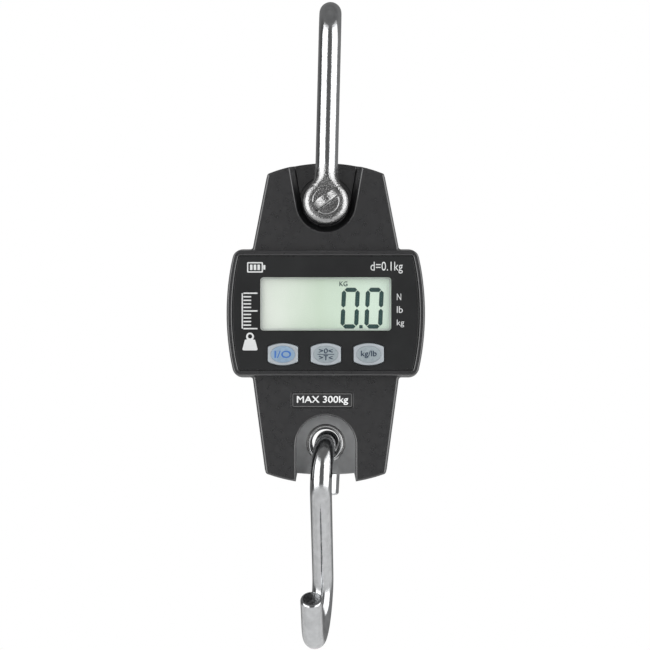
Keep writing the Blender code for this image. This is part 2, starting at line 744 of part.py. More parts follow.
def battery_springs(at):
    """A conical coil against the flat end of each cell."""
    wire, turns, steps, sides = 0.35, 3.0, 8, 5
    spins = [2 * pi * k / sides for k in range(sides)]
    for row, (z, flip) in enumerate(battery_rows()):
        near = CELL_AAA[1] / 2 + GAP + wire + 0.1
        count = int(turns * steps)
        rings = []
        for i in range(count + 1):
            share = i / count
            spin = 2 * pi * turns * share
            r = 2.0 + 2.0 * share
            along = near + (BAY[0] / 2 - 1.4 - near) * share
            out = Vector((0, cos(spin), sin(spin)))
            middle = Vector((along, 0, 0)) + out * r
            ring = [middle + (out * cos(turn) + Vector((sin(turn), 0, 0))) * wire for turn in spins]
            rings.append([(-flip * p.x, BATTERY_Y + p.y, z + p.z) for p in ring])
        place(solid(f"battery_spring_{row + 1}", rings), at, steel())


def contact_plates(at):
    """Sprung plates at the ends of the bay. The long ones join two cells, the short ones end the row."""
    x = BAY[0] / 2 - 0.5
    half = BATTERY_PITCH / 2
    for name, side, dz, length in (
        ("contact_plate_start", -1, -2 * half, 9.4),
        ("contact_plate_end", 1, 2 * half, 9.4),
        ("contact_bridge_left", -1, half, 9.4 + BATTERY_PITCH),
        ("contact_bridge_right", 1, -half, 9.4 + BATTERY_PITCH),
    ):
        plate = prism(name, block(0.4, length, BOX_Z + dz, x=side * x), BAY_FLOOR_Y + GAP, 16.8)
        place(plate, at, steel(), False)


def battery_cover(at):
    """The lift-off cover: a plate, a locating lip and grip ribs, with a hole for its screw."""
    outline = cover_outline()
    levels = [(COVER_Y[0], outline), (COVER_Y[1] - 0.4, outline), (COVER_Y[1], cover_outline(-0.4))]
    plate = stack("battery_cover", levels)
    lip = prism("lip", block(BAY[0] - 2 * GAP, BAY[1] - 2 * GAP, BOX_Z), 17.9, COVER_Y[0] + 0.5)
    cut(lip, prism("hollow", block(BAY[0] - 2.6, BAY[1] - 2.6, BOX_Z), 10, 30))
    join(plate, lip)
    hole = prism("hole", circle(0, COVER_SCREW_Z, 1.6, 12), 10, 30)
    sink = prism("sink", circle(0, COVER_SCREW_Z, 2.7, 16), COVER_Y[1] - 0.6, 30)
    grips = [prism("grip", block(16, 0.8, BOX_Z + 11 + 1.8 * i), COVER_Y[1] - 0.5, 30) for i in range(3)]
    return place(cut(plate, hole, sink, *grips), at, black_plastic())


def cover_screw(at):
    piece = place(screw("cover_screw", COVER_Y[1] - 0.3, 2.3, 1.2, 1.2, 8.0), at, steel())
    piece.location.z = COVER_SCREW_Z * MM


# ---------------------------------------------------------------- wires


def wire(name, points, radius, at, finish):
    """A wire on a smooth curve through its own points, as a closed tube."""
    knots = [Vector(points[0])] + [Vector(p) for p in points] + [Vector(points[-1])]
    smooth = []
    for i in range(1, len(knots) - 2):
        a, b, c, d = knots[i - 1 : i + 3]
        for k in range(5):
            t = k / 5
            bend = (2 * a - 5 * b + 4 * c - d) * t**2 + (3 * b - a - 3 * c + d) * t**3
            smooth.append(0.5 * (2 * b + (c - a) * t + bend))
    smooth.append(knots[-1])
    curve = bpy.data.curves.new(name, "CURVE")
    curve.dimensions = "3D"
    curve.bevel_depth = radius * MM
    curve.bevel_resolution = 2
    curve.use_fill_caps = True
    line = curve.splines.new("POLY")
    line.points.add(len(smooth) - 1)
    for point, place_ in zip(line.points, smooth):
        point.co = (*(place_ * MM), 1)
    obj = bpy.data.objects.new(name, curve)
    bpy.context.scene.collection.objects.link(obj)
    obj.parent = at
    curve.materials.append(finish)
    return obj


def wires(at):
    """The gauges' cable, and one wire from each end of the battery bay to the board."""
    z = CELL_MIDDLE
    route = [(0, 0.0, z), (0, -5.0, z), (1.5, -7.9, z - 2), (7, -8.3, z - 4.5)]
    route.append((PLUG_X, -8.3, PLUG_Z + 2.6))
    wire("gauge_cable", route, 0.9, at, material("cable_grey", (0.3, 0.3, 0.3), 0.6))
    bend = ((26.6, 10.3), (29.5, 10.2), (32.0, 7.0), (32.0, -4.0), (31.0, -8.0), (29.0, -9.0))
    bend += ((27.0, -9.05),)
    colours = (("red", WIRE_DZ, (0.5, 0.02, 0.02)), ("black", -WIRE_DZ, (0.02, 0.02, 0.02)))
    for name, dz, colour in colours:
        route = [(x, y, BOX_Z + dz) for x, y in bend]
        wire(f"battery_wire_{name}", route, 0.6, at, material(f"wire_{name}", colour, 0.5))


# ---------------------------------------------------------------- hook


def load_hook(at):
    """The S-hook of round bar, in its own plane, with Y from the tip to the tail."""
    top = HOOK_TOP_RISE - HOOK_TOP_BEND
    across, down = HOOK_BOWL_Y, top - HOOK_BOWL_Z
    slant = degrees(asin((HOOK_TOP_BEND + HOOK_BOWL_BEND) / hypot(across, down)) + atan2(across, down))
    tail = [(HOOK_TOP_BEND, top - drop) for drop in (HOOK_TAIL, HOOK_TAIL - HOOK_SOFT, 3)]
    upper = arc(0, top, HOOK_TOP_BEND, 0, 180 + slant, 18)
    bowl = arc(HOOK_BOWL_Y, HOOK_BOWL_Z, HOOK_BOWL_BEND, slant, -90 - HOOK_TIP_TURN, 16)
    end = bowl[-1]
    turn = radians(HOOK_TIP_TURN)
    tip = [(end[0] - cos(turn) * s, end[1] + sin(turn) * s) for s in (HOOK_TIP - HOOK_SOFT, HOOK_TIP)]
    path = tail + upper + bowl + tip
    return place(tube("load_hook", path, HOOK_R, 14, HOOK_R - HOOK_SOFT), at, chrome())


# ---------------------------------------------------------------- the assembly


def main():
    for old in list(bpy.data.objects):
        bpy.data.objects.remove(old)
    lean = radians(SHACKLE_LEAN)
    pin_at = (-SEAT_HEIGHT * sin(lean), 0, -SEAT_HEIGHT * cos(lean))
    shackle = holder("shackle_axis", pin_at, (0, SHACKLE_LEAN, 0))
    scale = holder("scale_axis", pin_at)
    hook = holder("hook_axis", (HOOK_SIDE, 0, HOOK_Z), parent=scale)
    hook.rotation_mode = "QUATERNION"
    hook.rotation_quaternion = (
        Matrix.Rotation(radians(HOOK_LEAN), 4, "Y") @ Matrix.Rotation(radians(-HOOK_YAW), 4, "Z")
    ).to_quaternion()

    shackle_bow(shackle)
    shackle_pin(shackle)
    for make in (
        load_cell, strain_gauges, front_shell, rear_shell, shell_screws, cell_screws, board_screws,
        face_panel, display_lens, lcd_panel, lcd_holder, backlight, zebra_strip, main_board, main_chip,
        crystal, capacitors, sensor_plug, capacity_label, battery_springs, contact_plates,
        battery_cover, cover_screw, wires,
    ):
        make(scale)
    for name, x in zip(KEY_NAMES, (-KEY_X, 0, KEY_X)):
        spot = holder(f"key_{name}_axis", (x, 0, KEY_Z), parent=scale)
        key(f"key_{name}", spot)
        plunger(f"plunger_{name}", spot)
        switch_body(f"switch_{name}", x, scale)
    for i, (z, flip) in enumerate(battery_rows()):
        battery(f"battery_{i + 1}", z, flip, scale)
    load_hook(hook)


main()
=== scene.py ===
"""Looks of the digital crane scale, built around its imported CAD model.

Every shape is drawn in millimetres around the shackle pin's axis: X to the right, Z up and the display
facing -Y. Outlines are (x, z) points, anticlockwise as seen from the front.
"""

import json
from math import acos, asin, atan2, cos, degrees, hypot, pi, radians, sin

import bmesh
import bpy
from mathutils import Matrix, Vector


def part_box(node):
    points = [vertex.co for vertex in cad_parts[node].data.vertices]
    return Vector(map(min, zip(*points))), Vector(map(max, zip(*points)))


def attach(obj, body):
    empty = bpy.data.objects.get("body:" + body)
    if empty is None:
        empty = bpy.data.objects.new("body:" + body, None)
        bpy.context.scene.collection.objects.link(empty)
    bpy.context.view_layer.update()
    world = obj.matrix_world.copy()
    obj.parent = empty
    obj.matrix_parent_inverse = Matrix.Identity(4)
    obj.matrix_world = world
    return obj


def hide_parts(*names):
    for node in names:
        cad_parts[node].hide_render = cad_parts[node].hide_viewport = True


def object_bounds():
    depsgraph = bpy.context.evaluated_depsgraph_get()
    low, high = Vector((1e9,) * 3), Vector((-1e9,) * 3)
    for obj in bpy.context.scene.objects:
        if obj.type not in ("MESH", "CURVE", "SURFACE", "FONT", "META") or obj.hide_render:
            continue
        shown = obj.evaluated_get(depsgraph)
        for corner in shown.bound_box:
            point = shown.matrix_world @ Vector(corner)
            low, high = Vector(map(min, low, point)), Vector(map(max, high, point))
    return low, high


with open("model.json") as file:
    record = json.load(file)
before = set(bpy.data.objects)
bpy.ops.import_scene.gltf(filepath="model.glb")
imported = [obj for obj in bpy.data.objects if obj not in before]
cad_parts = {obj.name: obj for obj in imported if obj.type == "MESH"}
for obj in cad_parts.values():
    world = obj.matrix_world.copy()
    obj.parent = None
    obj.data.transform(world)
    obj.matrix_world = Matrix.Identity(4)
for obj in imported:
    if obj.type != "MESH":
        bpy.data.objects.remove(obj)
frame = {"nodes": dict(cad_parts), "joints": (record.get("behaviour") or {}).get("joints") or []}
cad_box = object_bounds()

MM = 0.001
GAP = 0.3
FAR = 40.0  # past everything, for tools that run out of the casing
FRONT, BACK = -1, 1
JOINTS = {joint["name"]: Vector(joint["pos_m"]) / MM for joint in frame["joints"] if "pos_m" in joint}
PIN = JOINTS["shackle_pivot"]
SHACKLE_LEAN = Matrix.Rotation(atan2(-PIN.x, -PIN.z), 4, "Y")

# Shackle and pin
BAR_R = 5.0
LEG_Y = 15.0
EYE_R = 10.3
EYE_Y = (10.2, 19.6)
EYE_SOFT = 3.2  # rounding of the eye's edges
FLARE_SOFT = 3.9  # rounding of the leg where it meets the eye
FLARE_R = 7.3  # the fillet from each leg into its eye
PIN_R = 4.5
PIN_HOLE_R = 4.7
COLLAR_R = 6.1
COLLAR_T = 2.4
PIN_END_Y = 20.8
LUG_R = 6.8
LUG_T = 4.3
LUG_HOLE_R = 2.7
LUG_TURN = 37.0  # degrees about the pin

# Casing, seen from the front
CASE_TOP = 18.6
CASE_SHOULDER = (26.8, 13.4)
CASE_WAIST = (33.3, -19.9, -78.7)  # half width, and the heights between which the sides run straight down
CASE_FOOT = (27.6, -121.5)
CASE_BOTTOM = -126.4
FOOT_SOFT = 1.6  # rounding of the corners beside the notch
CASE_CORNER_R = 2.3
BOX_Z = -49.3
BOX_HALF_H = 29.2
BOX_HALF_W = 45.2
BOX_CORNER_X = 41.6
BOX_CORNER_R = 5.0
JOIN_R = 1.6  # the hollow fillet where the case meets the box
NOTCH_R = 13.3
POCKET_R = 13.0
POCKET_FLARE = 10.0  # degrees by which each side of the pocket opens upwards
POCKET_LEAN = 2.0  # how much narrower each side of the pocket is at its floor
DISH_R = 12.0  # the round hollow in the pocket's step

# Casing, front to back
WALL = 2.0
CASE_Y = 15.0
BOX_Y = 20.0
DRAFT = 1.0
BOX_DRAFT = 1.6
CASE_SOFT = 1.1
BOX_SOFT = 0.8
POCKET_Y = 9.0
LINER = 1.5
PARTING = 0.15
SLOT_PLAY = 0.4  # between the load cell's faces and the shells
BOSS_R = 3.2
POST_R = 2.3

# Load cell
CELL = (17.0, 6.0, 14.0, -122.1)  # half width, half thickness, top and bottom
HOOK_HOLE_R = 6.2
SINK_R = 8.8
CELL_SCREWS = ((-11.5, -24.0), (11.5, -24.0))
CELL_MIDDLE = -54.0
CELL_EYE = (7.5, 5.5)  # distance from the middle line, and radius

# Hook, in its own plane, from the middle of its hole
HOOK_R = 4.9
HOOK_SOFT = 1.2
HOOK_SIDE = 0.6
HOOK_TOP = (15.0, -14.55)  # radius and height of the middle of the upper bend
HOOK_BOWL = (17.0, -4.0, -70.9)  # radius and the middle of the lower bend
HOOK_TAIL = 10.9
HOOK_TIP = 17.0
HOOK_TIP_TURN = 57.0  # degrees that the bowl turns on past its lowest point
HOOK_YAW = 7.1
HOOK_LEAN = 3.0

# Display
RIM = 2.6
RECESS_Y = 18.9
PANEL_Y = (19.2, 19.8)
INNER_Y = 17.5
WINDOW = (57.6, 23.4)
LCD_SIZE = (60.5, 26.0)
LCD_BACK_Y = 15.4
LENS_BACK_Y = 18.6
KEY_W = 13.3
KEY_H = 9.7
KEY_SIDE_H = 6.5
KEY_BACK_Y = 16.2
KEY_FACE_Y = 20.7
KEY_DOME = (5.35, 3.7)
KEY_DOME_Y = 20.5
KEY_DOME_RISE = 0.45
KEY_NAMES = ("power", "hold", "unit")
LABEL = (26.9, 6.4)
PRINT_T = 0.03  # how far printing stands off its surface
PRINT_SINK = 0.02  # how far it is let into it

# Back
BAY = (53.0, 34.6)
BAY_FLOOR_Y = 7.6
COVER_SIZE = (58.0, 39.6)
COVER_TAB = (13.0, 8.0)
COVER_Y = (18.6, 20.0)
WIRE_DZ = 12.0  # the wires' ways, from the middle of the box

# Camera, from the pin's axis
CAMERA_AT = (-0.36, -600.0, -54.6)
LENS = 72.94
FLOOR_SIZE = 2600.0
FLOOR_DROP = 350.0  # how far the scale hangs above the floor


def centre(node):
    """The middle of a CAD node, in millimetres from the pin's axis."""
    low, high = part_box(node)
    return (low + high) / 2 / MM - PIN


def numbered(stem, count):
    return [f"{stem}_{i + 1}" for i in range(count)]


SHELL_SCREWS = [(centre(name).x, centre(name).z) for name in numbered("shell_screw", 6)]
BOARD_SCREWS = [(centre(name).x, centre(name).z) for name in numbered("board_screw", 4)]
KEYS = {name: centre(f"key_{name}") * Vector((1, 0, 1)) for name in KEY_NAMES}
HOOK_Z = (JOINTS["hook_pivot"] - PIN).z
WINDOW_Z = centre("display_lens").z
LABEL_X, LABEL_Z = centre("capacity_label").x, centre("capacity_label").z
COVER_SCREW_Z = centre("cover_screw").z


# ---------------------------------------------------------------- outlines


def arc(cx, cz, r, start, end, steps):
    turns = [radians(start + (end - start) * i / steps) for i in range(steps + 1)]
    return [(cx + r * cos(t), cz + r * sin(t)) for t in turns]


def circle(cx, cz, r, steps=48):
    return arc(cx, cz, r, 0, 360, steps)[:-1]


def ellipse(cx, cz, a, b, steps=64):
    return [(cx + a * cos(t), cz + b * sin(t)) for t in (2 * pi * i / steps for i in range(steps))]


def rounded(corners, steps=8):
    """A closed outline from (x, z, radius) corners, each turned on its radius."""
    points = []
    for i, (x, z, r) in enumerate(corners):
        if r == 0:
            points.append((x, z))
            continue
        here = Vector((x, z))
        before = (Vector(corners[i - 1][:2]) - here).normalized()
        after = (Vector(corners[(i + 1) % len(corners)][:2]) - here).normalized()
        half = acos(max(-1.0, min(1.0, before.dot(after)))) / 2
        middle = here + (before + after).normalized() * (r / sin(half))
        first = here + before * (r / sin(half) * cos(half)) - middle
        last = here + after * (r / sin(half) * cos(half)) - middle
        start = atan2(first.y, first.x)
        turn = (atan2(last.y, last.x) - start + pi) % (2 * pi) - pi
        spins = [start + turn * k / steps for k in range(steps + 1)]
        points += [(middle.x + r * cos(s), middle.y + r * sin(s)) for s in spins]
    return points


def bowed(x, z, rise, steps=24):
    """Points of a shallow arc from (x, z) to (-x, z) that passes (0, z + rise), its ends left out."""
    r = abs((x * x + rise * rise) / (2 * rise))
    up = 1 if rise > 0 else -1
    span = asin(x / r)
    middle = z + rise - up * r
    turns = [span * (1 - 2 * i / steps) for i in range(1, steps)]
    return [(r * sin(t), middle + up * r * cos(t)) for t in turns]


def block(w, h, z=0.0, r=0.0, x=0.0):
    signs = ((1, -1), (1, 1), (-1, 1), (-1, -1))
    return rounded([(x + sx * w / 2, z + sz * h / 2, r) for sx, sz in signs])


def moved(outline, dx, dz):
    return [(x + dx, z + dz) for x, z in outline]


def inset(outline, distance):
    """The outline moved inwards by a distance, or outwards by a negative one."""
    count = len(outline)
    points = []
    for i in range(count):
        here = Vector(outline[i])
        before = (here - Vector(outline[i - 1])).normalized()
        after = (Vector(outline[(i + 1) % count]) - here).normalized()
        normal = Vector((-before.y - after.y, before.x + after.x)).normalized()
        share = max(0.3, normal.dot(Vector((-after.y, after.x))))
        points.append(tuple(here + normal * (distance / share)))
    return points


def mirrored(right, top=(), foot=()):
    """Rounds a list of corners down the right side, and its mirror image down the left."""
    left = [(-x, z, r) for x, z, r in reversed(right)]
    flat = [(x, z, 0) for x, z in top]
    return rounded(right + flat + left + [(-x, z, 0) for x, z in foot])


def clear_of(end_x, corner, points):
    """The points of a bow that the rounding of its end corners leaves alone."""
    return [(x, z) for x, z in points if abs(x) < end_x - 1.2 * corner]


def case_outline(corner=CASE_CORNER_R):
    half_w, high, low = CASE_WAIST
    right = [(*CASE_FOOT, corner), (half_w, low, 0), (half_w, high, 0), (*CASE_SHOULDER, corner)]
    top = bowed(*CASE_SHOULDER, CASE_TOP - CASE_SHOULDER[1])
    foot = bowed(*CASE_FOOT, CASE_BOTTOM - CASE_FOOT[1])
    return mirrored(right, clear_of(CASE_SHOULDER[0], corner, top), clear_of(CASE_FOOT[0], corner, foot))


def box_outline():
    bulge = bowed(BOX_HALF_H, 0.0, BOX_HALF_W - BOX_CORNER_X)
    side = [(BOX_CORNER_X + dx, BOX_Z + dz) for dz, dx in bulge if abs(dz) < BOX_HALF_H - BOX_CORNER_R - 0.5]
    right = [(BOX_CORNER_X, BOX_Z - BOX_HALF_H, BOX_CORNER_R)]
    right += [(x, z, 0) for x, z in reversed(side)]
    right += [(BOX_CORNER_X, BOX_Z + BOX_HALF_H, BOX_CORNER_R)]
    return mirrored(right)


def join_outline(side, end, shrink):
    """The hollow fillet between one side of the case and one end of the box, both moved in by shrink."""
    half_w = CASE_WAIST[0]
    far = CASE_SHOULDER if end > 0 else CASE_FOOT
    x, z = half_w - shrink, BOX_Z + end * (BOX_HALF_H - shrink)
    reach, tuck = 5.0, 0.35
    along = Vector((far[0] - half_w, far[1] - z)).normalized() * reach
    corners = [
        (x + along.x - tuck, z + along.y, 0),
        (x - reach, z - end * reach, 0),
        (x + reach, z - end * tuck, 0),
        (x, z, JOIN_R + shrink),
    ]
    return rounded([(side * a, b, r) for a, b, r in corners])


def notch_outline(r=NOTCH_R, soft=FOOT_SOFT):
    """The arch over the hook's hole, eased where it runs out of the casing's foot."""
    foot = CASE_FOOT[1] + (CASE_BOTTOM - CASE_FOOT[1]) * (1 - (r / CASE_FOOT[0]) ** 2)
    right = arc(r + soft, foot + soft, soft, 270, 180, 8)
    ends = [(-r - soft, CASE_BOTTOM - 2), (r + soft, CASE_BOTTOM - 2)]
    return arc(0, HOOK_Z, r, 0, 180, 48) + [(-x, z) for x, z in reversed(right)] + ends + right


def pocket_outline(r=POCKET_R, rise=50.0):
    flare = radians(POCKET_FLARE)
    x = (r + rise * sin(flare)) / cos(flare)
    return arc(0, 0, r, 180 + POCKET_FLARE, 360 - POCKET_FLARE, 40) + [(x, rise), (-x, rise)]


def panel_outline(grow=0.0):
    return inset(box_outline(), BOX_DRAFT + RIM - grow)


def key_outline(grow=0.0):
    """A key around its own middle: flat sides, bowed top and bottom."""
    x, z = KEY_W / 2 + grow, KEY_SIDE_H / 2 + grow
    rise = (KEY_H - KEY_SIDE_H) / 2
    ends = [(a, b, 0) for a, b in bowed(x, z, rise, 16)]
    soft = 0.7
    right = [(x, -z, soft), (x, z, soft)]
    left = [(-x, z, soft), (-x, -z, soft)]
    return rounded(right + ends + left + [(-a, -b, r) for a, b, r in ends], 4)


def cover_outline(grow=0.0):
    w, h = COVER_SIZE[0] / 2 + grow, COVER_SIZE[1] / 2 + grow
    tab, drop = COVER_TAB[0] / 2 + grow, COVER_SIZE[1] / 2 + COVER_TAB[1] + grow
    right = [(tab, BOX_Z - drop, 2.0), (tab, BOX_Z - h, 0), (w, BOX_Z - h, 1.5), (w, BOX_Z + h, 1.5)]
    return mirrored(right)


# ---------------------------------------------------------------- solids


def solid(name, rings):
    """A closed object from rings of (x, y, z) points."""
    bm = bmesh.new()
    loops = [[bm.verts.new(Vector(p) * MM) for p in ring] for ring in rings]
    for low, high in zip(loops, loops[1:]):
        for i in range(len(low)):
            j = (i + 1) % len(low)
            bm.faces.new((low[i], low[j], high[j], high[i]))
    bm.faces.new(reversed(loops[0]))
    bm.faces.new(loops[-1])
    bmesh.ops.recalc_face_normals(bm, faces=bm.faces)
    mesh = bpy.data.meshes.new(name)
    bm.to_mesh(mesh)
    bm.free()
    obj = bpy.data.objects.new(name, mesh)
    bpy.context.scene.collection.objects.link(obj)
    return obj


def stack(name, levels, side=1):
    """Outlines of the same number of points, each at its own depth behind or before the middle."""
    return solid(name, [[(x, side * y, z) for x, z in outline] for y, outline in levels])


def prism(name, outline, y0, y1, side=1):
    return stack(name, [(y0, outline), (y1, outline)], side)


def turned(name, profile, x=0.0, z=0.0, steps=64, side=1):
    return stack(name, [(y, circle(x, z, r, steps)) for y, r in profile], side)


def rods(places, r, y0, y1, side=1, steps=24):
    """Round posts or drills, one at each (x, z) place."""
    return [prism("rod", circle(x, z, r, steps), y0, y1, side) for x, z in places]


def quarter(steps=6):
    """Sine and cosine pairs over a quarter turn."""
    return [(sin(pi / 2 * i / steps), cos(pi / 2 * i / steps)) for i in range(steps + 1)]


def slab(outline, low, high, edge, steps=6):
    """Levels of a plate with its outer edge rounded."""
    rounds = [(high - edge + edge * s, inset(outline, edge * (1 - c))) for s, c in quarter(steps)]
    return [(low, outline)] + rounds


def edge_steps(face, draft, soft):
    """Depths of a plate's rings and how far each is inset: a drafted wall and a rounded edge."""
    foot = 0.15
    edge = [(face - soft + soft * s, draft + soft * (1 - c)) for s, c in quarter()]
    return [(PARTING, foot), (PARTING + foot, 0.0)] + edge


def tier(outline, face, draft, soft):
    return [(y, inset(outline, shrink)) for y, shrink in edge_steps(face, draft, soft)]


def well(outline, floor, face, lean=0.0, lip=0.0, soft=0.0):
    """Levels of a cutter for a pocket: a floor with a hollow fillet, a leaning wall and a rounded lip."""
    levels = [(floor + soft * (1 - c), inset(outline, lean + soft * (1 - s))) for s, c in quarter()]
    levels = levels if soft else levels[:1]
    rim = [(face - lip + lip * s, inset(outline, lip * (c - 1))) for s, c in quarter()]
    levels += rim if lip else rim[:1]
    return levels + [(face + 3.0, inset(outline, -lip))]


def sweep(name, path, r, sides=40, soft=0.0):
    """A round bar along a path of (y, z) points, its ends rounded over by soft."""
    rings = []
    right = Vector((1, 0, 0))
    spins = [2 * pi * k / sides for k in range(sides)]
    points = [Vector((0, y, z)) for y, z in path]
    for i, middle in enumerate(points):
        along = (points[min(i + 1, len(points) - 1)] - points[max(i - 1, 0)]).normalized()
        across = along.cross(right)
        ends = [(0.0, r)]
        if soft and i in (0, len(points) - 1):
            ends = round_end(r, soft, 1 if i else -1)
        for step, size in ends:
            spot = middle + along * step
            rings.append([tuple(spot + (right * cos(s) + across * sin(s)) * size) for s in spins])
    return solid(name, rings)


def round_end(r, soft, way):
    """Steps along a bar and its radius there, for an end rounded over before or after its last point."""
    ends = [(way * (soft * s - soft), r - soft * (1 - c)) for s, c in quarter()]
    return ends if way > 0 else ends[::-1]


def shaped(obj, operation, tools):
    for tool in tools:
        step = obj.modifiers.new(operation, "BOOLEAN")
        step.operation = operation
        step.solver = "EXACT"
        step.object = tool
    seen = obj.evaluated_get(bpy.context.evaluated_depsgraph_get())
    mesh = bpy.data.meshes.new_from_object(seen)
    if not mesh.polygons:
        raise ValueError(f"{obj.name}: nothing is left after {operation}")
    obj.modifiers.clear()
    obj.data = mesh
    for tool in tools:
        bpy.data.objects.remove(tool)
    return obj


def cut(obj, *tools):
    return shaped(obj, "DIFFERENCE", tools)


def join(obj, *tools):
    return shaped(obj, "UNION", tools)


def finish(obj, body, material, nodes=(), sharp=32, at=None, turn=None):
    """Smooths a piece, puts it in its place on its body, and lets it stand for its CAD nodes."""
    mesh = obj.data
    mesh.materials.clear()
    mesh.materials.append(material)
    mesh.shade_smooth()
    mesh.set_sharp_from_angle(angle=radians(sharp))
    even = obj.modifiers.new("even_normals", "WEIGHTED_NORMAL")
    even.keep_sharp = True
    place = Matrix.Translation((PIN if at is None else at) * MM)
    obj.matrix_world = place @ (turn or Matrix.Identity(4))
    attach(obj, body)
    if nodes:
        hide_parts(*nodes)
    return obj


# ---------------------------------------------------------------- materials


class Graph:
    """Makes and links the nodes of a material or of the world."""

    def __init__(self, tree):
        self.tree = tree

    def node(self, kind, inputs=(), **settings):
        made = self.tree.nodes.new(kind)
        for key, value in settings.items():
            setattr(made, key, value)
        for key, value in dict(inputs).items():
            if isinstance(value, bpy.types.NodeSocket):
                self.tree.links.new(value, made.inputs[key])
            else:
                made.inputs[key].default_value = value
        return made

    def math(self, operation, *values):
        return self.node("ShaderNodeMath", dict(enumerate(values)), operation=operation).outputs[0]

    def ramp(self, value, stops):
        """Maps a value to colours or greys at (position, colour) stops."""
        made = self.node("ShaderNodeValToRGB", {"Fac": value})
        points = made.color_ramp.elements
        while len(points) < len(stops):
            points.new(0.5)
        for point, (where, colour) in zip(points, stops):
            point.position = where
            point.color = (*colour, 1.0) if isinstance(colour, tuple) else (colour, colour, colour, 1.0)
        return made.outputs["Color"]


class Finish(Graph):
    """A Principled material whose nodes read the piece's own coordinates, in metres."""

    def __init__(self, name, roughness, metallic=0.0, **sockets):
        self.material = bpy.data.materials.new(name)
        self.material.use_nodes = True
        super().__init__(self.material.node_tree)
        self.shader = self.tree.nodes["Principled BSDF"]
        self.shader.inputs["Roughness"].default_value = roughness
        self.shader.inputs["Metallic"].default_value = metallic
        for socket, value in sockets.items():
            self.shader.inputs[socket.replace("_", " ")].default_value = value
        self.place = self.node("ShaderNodeTexCoord").outputs["Object"]

    def noise(self, size, detail=3.0, stretch=(1, 1, 1), seed=0.0):
        """Noise whose features are about size millimetres across."""
        inputs = {"Vector": self.place, "Scale": stretch, "Location": (seed, seed, seed)}
        scaled = self.node("ShaderNodeMapping", inputs).outputs[0]
        inputs = {"Vector": scaled, "Scale": 1 / (size * MM), "Detail": detail}
        return self.node("ShaderNodeTexNoise", inputs).outputs["Fac"]

    def across(self):
        """The place along X."""
        return self.node("ShaderNodeSeparateXYZ", {"Vector": self.place}).outputs["X"]

    def away(self, axes):
        """The distance from the piece's origin, along the axes that are 1."""
        kept = self.node("ShaderNodeVectorMath", {0: self.place, 1: axes}, operation="MULTIPLY")
        return self.node("ShaderNodeVectorMath", {0: kept.outputs[0]}, operation="LENGTH").outputs["Value"]

    def spread(self, value, low, high, start=0.0, end=1.0):
        """Maps a value from start..end to low..high, and holds it there."""
        inputs = {"Value": value, "From Min": start, "From Max": end, "To Min": low, "To Max": high}
        return self.node("ShaderNodeMapRange", inputs).outputs[0]

    def feed(self, socket, value):
        self.tree.links.new(value, self.shader.inputs[socket])
        return self

    def colour(self, value):
        return self.feed("Base Color", value)

    def rough(self, value, low, high, start=0.3, end=0.7):
        return self.feed("Roughness", self.spread(value, low, high, start, end))

    def bump(self, value, depth):
        """Relief of about depth millimetres."""
        made = self.node("ShaderNodeBump", {"Height": value, "Distance": depth * MM, "Strength": 1.0})
        return self.feed("Normal", made.outputs[0])


def tinted(colour, share):
    return tuple(min(1.0, c * share) for c in colour)


def plastic(name, colour, roughness, grain=(0.25, 0.006), cloud=6.0, spread=0.12, **sockets):
    """Moulded plastic: faint clouding, an even fine grain and a slightly uneven gloss."""
    made = Finish(name, roughness, **sockets)
    patches = made.noise(cloud)
    made.colour(made.ramp(patches, [(0.3, tinted(colour, 1 - spread)), (0.7, tinted(colour, 1 + spread))]))
    made.rough(made.noise(cloud / 3, seed=2.0), roughness * 0.88, roughness * 1.12)
    return made.bump(made.noise(grain[0], detail=2.0), grain[1]).material


def paint(name, colour, roughness=0.45, grain=(0.15, 0.002)):
    """Ink or paint, evener than moulded plastic."""
    return plastic(name, colour, roughness, grain=grain, spread=0.05)


def metal(name, colour, roughness, grain=(0.4, 0.004), cloud=4.0, metallic=1.0):
    """Bare metal: mottled tone and gloss, with a fine relief."""
    made = Finish(name, roughness, metallic)
    patches = made.noise(cloud, detail=5.0)
    made.colour(made.ramp(patches, [(0.3, tinted(colour, 0.86)), (0.7, tinted(colour, 1.06))]))
    made.rough(made.noise(cloud / 2, seed=3.0), roughness * 0.7, roughness * 1.5)
    return made.bump(made.noise(grain[0], detail=4.0), grain[1]).material


def shackle_chrome():
    """Polished along the bow, and darker, duller and coarser round the pin."""
    made = Finish("chrome", 0.1, 1.0)
    # darker grey round the pin, with a higher roughness and a coarser bump there
    near_pin = made.spread(made.away((1.0, 0.0, 1.0)), 0.0, 1.0, 17 * MM, 10 * MM)
    mixed = made.math("ADD", made.noise(2.5, detail=5.0), near_pin)
    dull, bright, pin_grey = (0.54, 0.55, 0.56), (0.65, 0.66, 0.67), (0.42, 0.42, 0.42)
    made.colour(made.ramp(mixed, [(0.3, dull), (0.65, bright), (1.0, pin_grey)]))
    made.rough(mixed, 0.07, 0.17, 0.3, 1.5)
    coarse = made.math("MULTIPLY_ADD", near_pin, 4.0, 1.0)
    relief = made.math("MULTIPLY", made.noise(0.7, detail=4.0), coarse)
    return made.bump(relief, 0.040).material


def lcd_glass_painted_glow():
    """The reflective panel with a painted glow: a pale green that deepens to the right as a painted
    reflection, with a faint vertical haze.
    """
    # painted glow: the panel's own tone is fed to its emission, so it shines though it is no lamp
    made = Finish("lcd", 0.3, Emission_Strength=0.30)
    half = WINDOW[0] / 2 * MM
    share = made.spread(made.across(), 0.0, 1.0, -half, half)
    haze = made.spread(made.noise(9.0, stretch=(1, 1, 0.3)), -0.12, 0.12)
    # painted reflection: the tone is lighter on the left and deeper towards the right
    left, middle, right = (0.615, 0.646, 0.60), (0.45, 0.537, 0.44), (0.53, 0.635, 0.549)
    tone = made.ramp(made.math("ADD", share, haze), [(0.0, left), (0.45, middle), (1.0, right)])
    return made.feed("Emission Color", tone).colour(tone).bump(made.noise(0.2), 0.001).material


